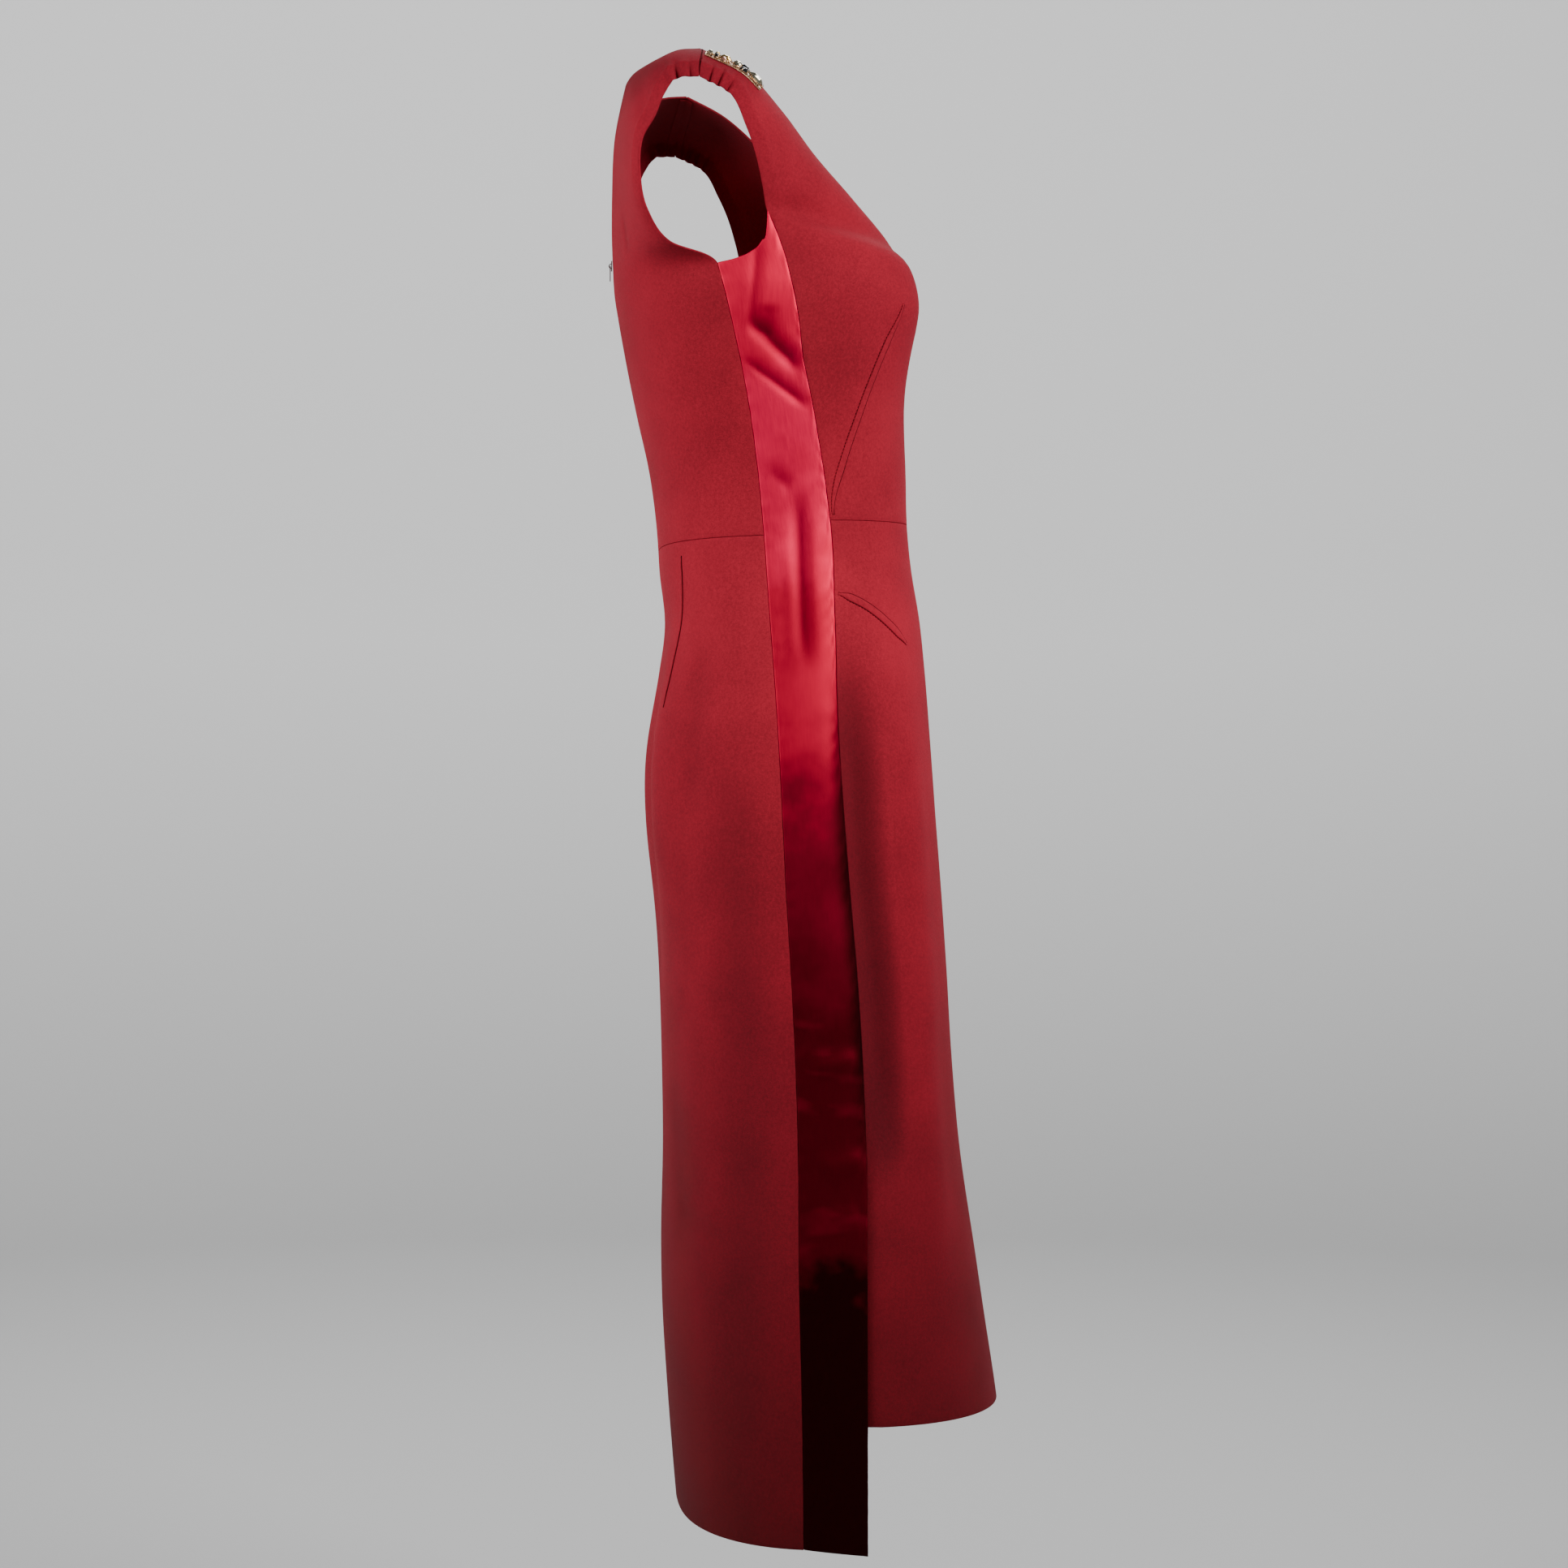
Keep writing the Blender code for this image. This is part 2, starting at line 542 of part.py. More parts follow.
def back_skirt_points(across):
    """Grid of the left back skirt, from the waist to the longer hem."""
    outer_z = BACK_SKIRT_ROWS.copy()
    inner_z = seam_heights(WAIST_BACK_Z, BACK_HEM_Z, SKIRT_STEPS, SKIRT_SPACING_POWER)
    inner_z[0] -= HALF_GAP
    outer_z[0] -= HALF_GAP
    outer_angle = back_seam_angle(outer_z) + gap_angle(outer_z)
    inner_angle = np.full(len(inner_z), math.pi)
    points = np.array(section_rows(inner_z, outer_z, outer_angle, inner_angle, across))
    points[:, 0, 0] = HALF_GAP
    return points


def side_panel_points(across):
    """Grid of the left side panel: armhole to hem, front seam to back seam."""
    tail = np.linspace(FRONT_HEM_Z, SIDE_HEM_FRONT_Z, SKIRT_STEPS - FRONT_SKIRT_STEPS + 1)[1:]
    front_z = np.concatenate((FRONT_SEAM_ROWS, FRONT_SKIRT_ROWS[1:], tail))
    back_z = np.concatenate((BACK_SEAM_ROWS, BACK_SKIRT_ROWS[1:]))
    underarm = np.array(UNDERARM)
    reach = (underarm[:, 0] - underarm[0, 0]) / (underarm[-1, 0] - underarm[0, 0])
    straight = underarm[0, 1] + (underarm[-1, 1] - underarm[0, 1]) * reach
    bend = smooth_table(across, reach, underarm[:, 1] - straight)
    rows = []
    for row, (z_front, z_back) in enumerate(zip(front_z, back_z)):
        fade = 1.0 - smooth_step(np.array(row / UNDERARM_FADE_ROWS))
        z = z_front + (z_back - z_front) * across + bend * fade
        start = front_seam_angle(np.array(z_front)) + gap_angle(z_front)
        end = back_seam_angle(np.array(z_back)) - gap_angle(z_back)
        rows.append(body_point(z, start + (end - start) * across))
    return np.array(rows)


def grid_mesh(name, points, flip):
    """Quads over a grid of points."""
    rows, columns = points.shape[:2]
    first = (np.arange(rows - 1)[:, None] * columns + np.arange(columns - 1)).ravel()
    quads = np.stack((first, first + columns, first + columns + 1, first + 1), axis=1)
    if flip:
        quads = quads[:, ::-1]
    mesh = bpy.data.meshes.new(name)
    mesh.from_pydata(points.reshape(-1, 3).tolist(), [], quads.tolist())
    mesh.shade_smooth()
    return mesh


def add_wall(thing, thickness):
    """Give an open surface its thickness, half to each side."""
    wall = thing.modifiers.new("wall", "SOLIDIFY")
    wall.thickness = thickness
    wall.offset = 0.0


def mirrored(points):
    """The same grid on the other side of the midline."""
    return points * np.array((-1.0, 1.0, 1.0))


def cloth_pair(name, points, look, thickness=WALL):
    """A panel for each side of the dress."""
    for side, grid, flip in (("left", points, False), ("right", mirrored(points), True)):
        node = f"{name}_{side}"
        add_wall(new_object(node, grid_mesh(node, grid, flip), look), thickness)


def cloth_across_middle(name, points, look):
    """A panel that crosses the midline: its left half and a Mirror."""
    thing = new_object(name, grid_mesh(name, points, False), look)
    mirror = thing.modifiers.new("both_halves", "MIRROR")
    mirror.use_axis = (True, False, False)
    mirror.use_clip = True
    mirror.merge_threshold = MIRROR_WELD
    add_wall(thing, WALL)


def dart_points(path, start_width, end_width, towards_front):
    """Strip along a dart: body points either side of its line, moved out over the cloth."""
    path = np.array(path)
    t = np.linspace(0.0, 1.0, DART_ROWS)
    x, z = smooth_table(t, np.linspace(0.0, 1.0, len(path)), path).T
    arc = angle_at_x(z, x, towards_front) * FOLD_RADIUS
    run = np.gradient(np.stack((arc, z), axis=1), axis=0)
    run = run / np.linalg.norm(run, axis=1, keepdims=True)
    drawn_in = smooth_step(np.minimum(t, 1.0 - t) / DART_TAPER)
    share = DART_END_SHARE + (1.0 - DART_END_SHARE) * drawn_in
    half = (start_width + (end_width - start_width) * t) * share / 2
    offsets = np.linspace(-1.0, 1.0, DART_ACROSS)
    arcs = arc[:, None] + run[:, 1:] * half[:, None] * offsets
    heights = z[:, None] - run[:, :1] * half[:, None] * offsets
    points = body_point(heights, arcs / FOLD_RADIUS)
    around = body_point(heights, (arcs + NORMAL_STEP) / FOLD_RADIUS) - points
    down = body_point(heights - NORMAL_STEP, arcs / FOLD_RADIUS) - points
    normals = np.cross(down, around)
    normals = normals / np.linalg.norm(normals, axis=2, keepdims=True)
    lift = WALL / 2 + DART_GAP + DART_THICKNESS / 2 + DART_CROWN * (1.0 - offsets**2)
    return points + normals * lift[:, None]


def strap_place(surface, down, inward):
    """Point on the strap by distance from the shoulder seam and from the neckline."""
    points, stations, across = surface
    row = smooth_table(np.array([down]), stations, points)[0]
    length = np.concatenate(([0.0], np.cumsum(np.linalg.norm(np.diff(row, axis=0), axis=1))))
    return smooth_table(np.array([inward]), length, row)[0]


def strap_frame(surface, down, inward):
    """Place on the strap with its unit directions: down the strap, inward and outward."""
    place = strap_place(surface, down, inward)
    along = strap_place(surface, down + FRAME_STEP, inward) - place
    across = strap_place(surface, down, inward + FRAME_STEP) - place
    out = np.cross(along, across)
    out = out / np.linalg.norm(out)
    along = along / np.linalg.norm(along)
    return place, along, np.cross(out, along), out


def setting_points(surface):
    """Leaf-shaped backing of the ornament, from the strap's points moved out."""
    lift = WALL / 2 + SETTING_GAP + SETTING_THICKNESS / 2
    grid = []
    for t in np.linspace(0.0, 1.0, SETTING_ROWS):
        down = SETTING_START + (SETTING_END - SETTING_START) * t
        arc = SETTING_ARC[0] + (SETTING_ARC[1] - SETTING_ARC[0]) * t
        swell = math.sin(math.pi * arc) ** SETTING_FULLNESS
        width = SETTING_WIDTH * (SETTING_END_SHARE + (1.0 - SETTING_END_SHARE) * swell)
        row = []
        for share in np.linspace(-0.5, 0.5, SETTING_COLUMNS):
            place, _, _, out = strap_frame(surface, down, SETTING_MIDDLE + share * width)
            row.append(place + out * lift)
        grid.append(row)
    return np.array(grid)


def stone_outline(cut, length, width):
    """Girdle of a stone: a pointed oval for a navette, an ellipse for a round one."""
    angle = np.arange(STONE_SIDES[cut]) * 2 * math.pi / STONE_SIDES[cut]
    x = np.cos(angle) * length / 2
    y = np.sin(angle) * width / 2
    if cut == "navette":
        y = y * (1.0 - NAVETTE_POINT * np.cos(angle) ** 4)
    return x, y


def stone_mesh(name, frame, cut, length, width, height, turn):
    """A cut stone: flat base, girdle, sloping crown and flat table."""
    place, along, across, out = frame
    turn = math.radians(turn)
    long_way = along * math.cos(turn) + across * math.sin(turn)
    short_way = np.cross(out, long_way)
    x, y = stone_outline(cut, length, width)
    base = WALL / 2 + SETTING_GAP + SETTING_THICKNESS + STONE_LIFT
    shape = bmesh.new()
    rings = []
    for size, share in STONE_RINGS:
        level = place + out * (base + height * share)
        rings.append([shape.verts.new(level + (long_way * px + short_way * py) * size)
                      for px, py in zip(x, y)])
    for lower, upper in zip(rings, rings[1:]):
        for k in range(len(lower)):
            nearer = (k + 1) % len(lower)
            shape.faces.new((lower[k], lower[nearer], upper[nearer], upper[k]))
    shape.faces.new(rings[-1])
    shape.faces.new(rings[0][::-1])
    bmesh.ops.recalc_face_normals(shape, faces=shape.faces)
    mesh = bpy.data.meshes.new(name)
    shape.to_mesh(mesh)
    shape.free()
    return mesh


def mirrored_mesh(name, mesh):
    """A copy of a mesh on the other side of the midline, with its faces turned back out."""
    shape = bmesh.new()
    shape.from_mesh(mesh)
    for vertex in shape.verts:
        vertex.co.x = -vertex.co.x
    bmesh.ops.reverse_faces(shape, faces=shape.faces)
    copy = bpy.data.meshes.new(name)
    shape.to_mesh(copy)
    shape.free()
    return copy


def make_ornaments(surface):
    """The setting and the stones of each strap."""
    cloth_pair("jewel_setting", setting_points(surface), "setting_metal", SETTING_THICKNESS)
    for name, cut, down, inward, length, width, height, turn, look in STONES:
        frame = strap_frame(surface, down, inward)
        left = stone_mesh(f"{name}_left", frame, cut, length, width, height, turn)
        new_object(f"{name}_left", left, look)
        new_object(f"{name}_right", mirrored_mesh(f"{name}_right", left), look)


def flat_outline(name, outlines, depth, turn):
    """Plate with the given outlines, the second one a hole, as a mesh of its own."""
    curve = bpy.data.curves.new(name, "CURVE")
    curve.dimensions = "2D"
    curve.fill_mode = "BOTH"
    curve.extrude = depth / 2
    for outline in outlines:
        spline = curve.splines.new("POLY")
        spline.points.add(len(outline) - 1)
        for point, (x, y) in zip(spline.points, outline):
            point.co = (x, y, 0.0, 1.0)
        spline.use_cyclic_u = True
    guide = bpy.data.objects.new(name, curve)
    DRESS.objects.link(guide)
    guide.rotation_euler = turn
    bpy.context.view_layer.update()
    evaluated = guide.evaluated_get(bpy.context.evaluated_depsgraph_get())
    shape = bmesh.new()
    shape.from_mesh(bpy.data.meshes.new_from_object(evaluated))
    shape.transform(guide.matrix_world)
    bmesh.ops.remove_doubles(shape, verts=shape.verts, dist=WELD)
    bmesh.ops.recalc_face_normals(shape, faces=shape.faces)
    bpy.data.objects.remove(guide, do_unlink=True)
    mesh = bpy.data.meshes.new(name)
    shape.to_mesh(mesh)
    shape.free()
    return mesh


def rounded_plate(half_width, top, bottom, corner):
    """Outline of a plate with cut corners, y from top to bottom."""
    return ((-half_width + corner, top), (-half_width, top - corner), (-half_width, bottom + corner),
            (-half_width + corner, bottom), (half_width - corner, bottom), (half_width, bottom + corner),
            (half_width, top - corner), (half_width - corner, top))


def joined(name, first, second):
    """One closed mesh from two that overlap, joined at a thousand times their size."""
    pieces = []
    for label, mesh in (("first", first), ("second", second)):
        thing = bpy.data.objects.new(f"{name}_{label}", mesh)
        CUTTERS.objects.link(thing)
        mesh.transform(Matrix.Scale(JOIN_SCALE, 4))
        pieces.append(thing)
    union = pieces[0].modifiers.new("union", "BOOLEAN")
    union.operation = "UNION"
    union.solver = "MANIFOLD"
    union.object = pieces[1]
    bpy.context.view_layer.update()
    solid = pieces[0].evaluated_get(bpy.context.evaluated_depsgraph_get())
    mesh = bpy.data.meshes.new_from_object(solid)
    for thing in pieces:
        bpy.data.objects.remove(thing, do_unlink=True)
    mesh.transform(Matrix.Scale(1.0 / JOIN_SCALE, 4))
    return mesh


def make_zip(back_y):
    """Slider with its bridge at the middle back, and the pull tab that hangs from the bridge."""
    base_y = back_y + WALL / 2 + SLIDER_GAP
    middle_z = SLIDER_TOP_Z - SLIDER_LENGTH / 2
    upright = (math.pi / 2, 0.0, 0.0)
    base = rounded_plate(SLIDER_WIDTH / 2, SLIDER_LENGTH / 2, -SLIDER_LENGTH / 2, SLIDER_CORNER)
    plate = flat_outline("zip_slider", (base,), SLIDER_BASE, upright)
    rise = SLIDER_BASE / 2 + BRIDGE_HEIGHT
    crown = rise + BRIDGE_BAR
    outer = BRIDGE_HALF_LENGTH
    inner = BRIDGE_HALF_LENGTH - BRIDGE_BAR
    outline = ((0.0, -outer), (rise, -outer), (crown, -inner), (crown, inner), (rise, outer),
               (0.0, outer), (0.0, inner), (rise, inner), (rise, -inner), (0.0, -inner))
    bridge = flat_outline("bridge", (outline,), BRIDGE_WIDTH, (math.pi / 2, 0.0, math.pi / 2))
    slider = new_object("zip_slider", joined("zip_slider", plate, bridge), "enamelled_metal")
    slider.location = (0.0, base_y + SLIDER_BASE / 2, middle_z)

    hinge_y = base_y + SLIDER_BASE + BRIDGE_HEIGHT / 2
    eye_top = -PULL_BAR / 2
    tab = rounded_plate(PULL_HALF_WIDTH, PULL_BAR / 2, PULL_BAR / 2 - PULL_LENGTH, PULL_CORNER)
    eye = rounded_plate(PULL_EYE_HALF_WIDTH, eye_top, eye_top - PULL_EYE_LENGTH, PULL_EYE_CORNER)
    plate = flat_outline("zip_pull", (tab, eye[::-1]), PULL_THICKNESS, upright)
    pull = new_object("zip_pull", plate, "enamelled_metal")
    pull.location = (0.0, hinge_y, middle_z)


clear_scene()
DRESS = bpy.data.collections.new("sleeveless_dress")
CUTTERS = bpy.data.collections.new("cutters")
bpy.context.scene.collection.children.link(DRESS)
bpy.context.scene.collection.children.link(CUTTERS)

front_across = np.linspace(0.0, 1.0, FRONT_COLUMNS + 1)
back_across = np.linspace(0.0, 1.0, BACK_COLUMNS + 1)
side_across = np.linspace(0.0, 1.0, SIDE_COLUMNS + 1)
skirt_across = np.linspace(0.0, 1.0, SKIRT_COLUMNS + 1)

front_points, front_stations = front_bodice_points(front_across)
cloth_across_middle("front_bodice", front_points, "crepe")
cloth_across_middle("front_skirt", front_skirt_points(skirt_across), "crepe")
back_points = back_bodice_points(back_across)
cloth_pair("back_bodice", back_points, "crepe")
cloth_pair("back_skirt", back_skirt_points(skirt_across), "crepe")
cloth_pair("side_panel", side_panel_points(side_across), "satin")

for dart_name, dart_side, dart_path, dart_start, dart_end in DARTS:
    cloth_pair(dart_name, dart_points(dart_path, dart_start, dart_end, dart_side == "front"),
               "stitched_crepe", DART_THICKNESS)

make_ornaments((front_points, front_stations, front_across))
middle_back = back_points[:, 0]
make_zip(float(np.interp(-SLIDER_TOP_Z, -middle_back[:, 2], middle_back[:, 1])))
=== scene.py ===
import json
import math

import bmesh
import bpy
import numpy as np
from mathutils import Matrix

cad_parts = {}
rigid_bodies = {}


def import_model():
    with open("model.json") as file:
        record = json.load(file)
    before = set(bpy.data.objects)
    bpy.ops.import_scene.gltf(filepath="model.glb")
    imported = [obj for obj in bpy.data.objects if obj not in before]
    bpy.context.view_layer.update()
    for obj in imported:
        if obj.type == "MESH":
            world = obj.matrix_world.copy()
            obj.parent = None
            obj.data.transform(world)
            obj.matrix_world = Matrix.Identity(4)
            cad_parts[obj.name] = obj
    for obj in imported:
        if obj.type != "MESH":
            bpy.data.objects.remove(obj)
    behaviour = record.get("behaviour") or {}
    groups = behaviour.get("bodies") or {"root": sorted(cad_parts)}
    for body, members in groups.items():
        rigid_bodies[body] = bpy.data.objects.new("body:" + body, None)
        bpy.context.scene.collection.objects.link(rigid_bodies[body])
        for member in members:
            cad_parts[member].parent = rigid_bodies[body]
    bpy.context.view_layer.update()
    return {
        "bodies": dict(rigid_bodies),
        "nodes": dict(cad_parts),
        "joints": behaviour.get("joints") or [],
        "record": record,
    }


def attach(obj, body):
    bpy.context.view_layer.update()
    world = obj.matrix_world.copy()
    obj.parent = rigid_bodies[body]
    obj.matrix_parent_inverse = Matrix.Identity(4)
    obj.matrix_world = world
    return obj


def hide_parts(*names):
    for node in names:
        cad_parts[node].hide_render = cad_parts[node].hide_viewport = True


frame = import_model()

# Front bodice. One panel of matte dark red crepe, cut with both shoulder straps and a V
# neck. It is shaped over the body by the side seams and a dart each side, and its armhole
# edge is turned under, with three small gathers beside the shoulder seam.

WALL = 0.0016
HALF_GAP = 0.0002
SHOULDER_HALF_GAP = 0.0004
SIDES = (("right", -1.0), ("left", 1.0))

RINGS = (
    # z, half_width, front_y, side_y, back_y, front_power
    (-0.120, 0.1500, -0.1450, -0.0530, 0.0650, 2.6),
    (-0.150, 0.1475, -0.1620, -0.0545, 0.0648, 2.7),
    (-0.180, 0.1470, -0.1730, -0.0560, 0.0630, 2.8),
    (-0.200, 0.1480, -0.1780, -0.0580, 0.0600, 2.8),
    (-0.240, 0.1440, -0.1800, -0.0620, 0.0530, 2.8),
    (-0.290, 0.1360, -0.1820, -0.0700, 0.0430, 2.6),
    (-0.340, 0.1290, -0.1850, -0.0770, 0.0320, 2.5),
    (-0.395, 0.1270, -0.1870, -0.0820, 0.0250, 2.4),
    (-0.425, 0.1310, -0.1900, -0.0830, 0.0230, 2.4),
    (-0.470, 0.1430, -0.1970, -0.0850, 0.0175, 2.4),
    (-0.512, 0.1540, -0.2010, -0.0870, 0.0200, 2.4),
    (-0.575, 0.1660, -0.2056, -0.0880, 0.0240, 2.4),
    (-0.637, 0.1710, -0.2100, -0.0890, 0.0240, 2.4),
    (-0.703, 0.1730, -0.2150, -0.0930, 0.0230, 2.4),
    (-0.763, 0.1750, -0.2190, -0.0990, 0.0225, 2.4),
    (-0.841, 0.1770, -0.2235, -0.1030, 0.0210, 2.4),
    (-0.913, 0.1790, -0.2298, -0.1065, 0.0200, 2.4),
    (-1.010, 0.1820, -0.2442, -0.1100, 0.0215, 2.4),
    (-1.058, 0.1830, -0.2514, -0.1110, 0.0205, 2.4),
    (-1.125, 0.1850, -0.2617, -0.1120, 0.0165, 2.4),
    (-1.193, 0.1870, -0.2700, -0.1120, 0.0112, 2.4),
    (-1.235, 0.1880, -0.2750, -0.1120, 0.0075, 2.4),
)
BACK_POWER = 2.4

BUMPS = (
    # x, z, width, rise_above, fall_below, height, towards_y
    (0.090, -0.191, 0.040, 0.050, 0.048, 0.024, -1),
    (0.080, -0.612, 0.035, 0.075, 0.080, 0.018, 1),
)

SIDE_SEAM_FRONT = (
    # z, y
    (-0.140, -0.0567), (-0.167, -0.0675), (-0.201, -0.0762), (-0.230, -0.0820),
    (-0.251, -0.0847), (-0.300, -0.0955), (-0.365, -0.1070), (-0.404, -0.1115),
    (-0.470, -0.1125), (-0.545, -0.1132), (-0.635, -0.1190), (-0.700, -0.1240),
    (-0.760, -0.1285), (-0.833, -0.1330), (-0.905, -0.1352), (-1.010, -0.1353),
    (-1.127, -0.1352), (-1.235, -0.1350),
)

FRONT_UPPER = (
    # neckline point, armhole point, leaves the neckline, reaches the armhole, steps to next
    ((0.0980, -0.0050, 0.0020), (0.1750, 0.0010, -0.0370),
     (0.044, 0.000, -0.012), (-0.002, 0.000, -0.021), 10),
    ((0.0960, -0.0380, -0.0160), (0.1735, -0.0240, -0.0500),
     (0.042, -0.006, -0.008), (-0.001, 0.010, -0.018), 3),
    ((0.0860, -0.0705, -0.0470), (0.1670, -0.0373, -0.0743),
     (0.042, -0.006, -0.006), (0.001, 0.018, -0.010), 3),
    ((0.0670, -0.0990, -0.0820), (0.1600, -0.0461, -0.0967),
     (0.044, -0.010, -0.004), (0.004, 0.020, -0.005), 3),
    ((0.0460, -0.1280, -0.1170), (0.1520, -0.0524, -0.1210),
     (0.046, -0.018, -0.002), (0.006, 0.022, -0.002), 2),
    ((0.0240, -0.1550, -0.1520), (0.1460, -0.0562, -0.1390),
     (0.050, -0.022, 0.000), (0.008, 0.026, 0.000), 1),
)
FRONT_CORNER_Z = -0.140
NECK_POINT_Z = -0.185
WAIST_FRONT_Z = -0.387
WAIST_SEAM_FRONT_Z = -0.391
BODICE_STEPS = 14
FINER = 6
PANEL_COLUMNS = 49
FRONT_GATHERS = ((0.0090, 0.0015, 0.0034), (0.0165, 0.0014, 0.0036), (0.0250, 0.0018, 0.0028))
GATHER_REACH = 0.012
GATHER_SWELL = 0.35
ROLL_DISTANCE = 0.0110
ROLL_WIDTH = 0.0050
ROLL_SOFTNESS = 0.0006
ROLL_HEIGHT = 0.0022
ROLL_LENGTH = 0.16
CORNER_FADE = 0.3
EDGE_ROUNDING = 0.0004
EDGE_ANGLE = math.radians(50)
WELD_DISTANCE = 0.00002
TINY = 1e-12

# Soft creases on the right half: angle round the body in degrees and height of one end, the
# same for the other end, width, and height, which is below 0 for a trough.
SEEN_FOLDS = (
    (92.2, -0.165, 97.0, -0.235, 0.0055, -0.0012),
    (91.0, -0.218, 91.2, -0.243, 0.0080, -0.0014),
    (97.0, -0.230, 83.0, -0.266, 0.0080, -0.0034),
    (100.2, -0.262, 82.5, -0.296, 0.0055, -0.0020),
    (97.8, -0.351, 90.8, -0.364, 0.0070, -0.0011),
    (88.4, -0.378, 90.2, -0.505, 0.0085, -0.0024),
    (95.5, -0.428, 95.5, -0.520, 0.0080, -0.0007),
    (93.5, -0.840, 81.0, -0.832, 0.0080, 0.0016),
    (92.5, -0.922, 82.0, -0.914, 0.0090, 0.0014),
    (92.0, -0.962, 84.0, -0.958, 0.0080, 0.0012),
    (76.5, -0.540, 75.0, -0.900, 0.0150, -0.0100),
    (55.0, -0.560, 61.0, -1.000, 0.0220, 0.0042),
    (112.0, -0.620, 114.0, -1.080, 0.0200, -0.0016),
    (126.0, -0.500, 128.0, -0.620, 0.0140, -0.0010),
    (150.0, -0.860, 140.0, -1.000, 0.0240, -0.0012),
    (145.5, -0.962, 119.0, -0.980, 0.0090, -0.0008),
    (146.2, -0.135, 143.5, -0.165, 0.0070, -0.0010),
)
HIDDEN_TURN = 1.4
HIDDEN_DROP = 0.006
HIDDEN_SHARE = 0.88


def moved_folds(folds):
    """Similar creases for the hidden half, each a little off its twin and a little shallower."""
    rows = []
    for k, (angle_1, z_1, angle_2, z_2, width, height) in enumerate(folds):
        turn = HIDDEN_TURN * math.sin(2.0 * k)
        drop = HIDDEN_DROP * math.cos(3.0 * k)
        rows.append((angle_1 + turn, z_1 + drop, angle_2 + turn, z_2 + drop, width,
                     height * HIDDEN_SHARE))
    return rows


FOLDS = {"right": SEEN_FOLDS, "left": moved_folds(SEEN_FOLDS)}
FOLD_RUN_ON = 0.15
FOLD_END = 0.35
FOLD_RADIUS = 0.155
CREASE_DEPTH = 0.0025
BODY_MIDDLE_Y = -0.09
CHEST_Z = -0.2


def smooth_step(t):
    """Rises from 0 to 1 as 3t^2 - 2t^3."""
    t = np.clip(t, 0.0, 1.0)
    return t * t * (3.0 - 2.0 * t)


def smooth_table(at, stations, values, slopes=None):
    """Cubic pieces through a table, each slope the table's own gradient at that station."""
    at = np.asarray(at, dtype=float)
    if slopes is None:
        slopes = np.gradient(values, stations, axis=0)
    piece = np.clip(np.searchsorted(stations, at, side="right") - 1, 0, len(stations) - 2)
    step = stations[piece + 1] - stations[piece]
    t = np.clip((at - stations[piece]) / step, 0.0, 1.0)
    spare_axes = (1,) * (values.ndim - 1)
    t = t.reshape(t.shape + spare_axes)
    step = step.reshape(step.shape + spare_axes)
    end_share = 3 * t**2 - 2 * t**3
    return ((1.0 - end_share) * values[piece] + end_share * values[piece + 1]
            + (t**3 - 2 * t**2 + t) * step * slopes[piece]
            + (t**3 - t**2) * step * slopes[piece + 1])


def table_by_height(rows):
    """Heights in rising order, and the other columns beside them."""
    table = np.array(rows, dtype=float)[::-1]
    return table[:, 0], table[:, 1:]


RING_HEIGHTS, RING_SIZES = table_by_height(RINGS)
TOP_SIDE_Y = RING_SIZES[-1, 2]
FRONT_SEAM_TABLE = table_by_height(SIDE_SEAM_FRONT)


def ring_half(z, towards_front):
    """Half width, middle y, depth and squareness of the front or back half of a section."""
    sizes = smooth_table(z, RING_HEIGHTS, RING_SIZES)
    half_width, front_y, side_y, back_y, front_power = np.moveaxis(sizes, -1, 0)
    depth = np.where(towards_front, side_y - front_y, back_y - side_y)
    power = np.where(towards_front, front_power, BACK_POWER)
    return half_width, side_y, depth, power


def with_bumps(points, towards_front):
    """Adds height * exp(-dx^2/2w^2 - dz^2/2s^2) along y for the bust and the seat."""
    x, y, z = np.moveaxis(points, -1, 0)
    for bump_x, bump_z, width, rise, fall, height, towards_y in BUMPS:
        spread = np.where(z > bump_z, rise, fall)
        facing = np.maximum(-towards_y * towards_front, 0.0)
        bump = np.exp(-((x - bump_x) / width) ** 2 / 2 - ((z - bump_z) / spread) ** 2 / 2)
        y = y + towards_y * height * facing * bump
    return np.stack((x, y, z), axis=-1)


def body_point(z, angle):
    """Rounded rectangle (sin/width)^p + (cos/depth)^p = 1 at height z, with its bumps."""
    z, angle = np.broadcast_arrays(np.asarray(z, dtype=float), np.asarray(angle, dtype=float))
    half_width, side_y, depth, power = ring_half(z, np.cos(angle) >= 0)
    radius = ((np.abs(np.sin(angle)) / half_width) ** power
              + (np.abs(np.cos(angle)) / depth) ** power) ** (-1.0 / power)
    points = np.stack((radius * np.sin(angle), side_y - radius * np.cos(angle), z), axis=-1)
    return with_bumps(points, np.cos(angle))


def seam_angle(z, seam_table):
    """Angle at which the section at height z reaches the seam's y."""
    y = smooth_table(z, *seam_table)[..., 0]
    side_y = ring_half(z, True)[1]
    half_width, side_y, depth, power = ring_half(z, y < side_y)
    across = half_width * (1.0 - (np.abs(y - side_y) / depth) ** power) ** (1.0 / power)
    return np.arctan2(across, side_y - y)


def gap_angle(z):
    """Half a seam gap as an angle round the body."""
    return HALF_GAP / ring_half(z, True)[0]


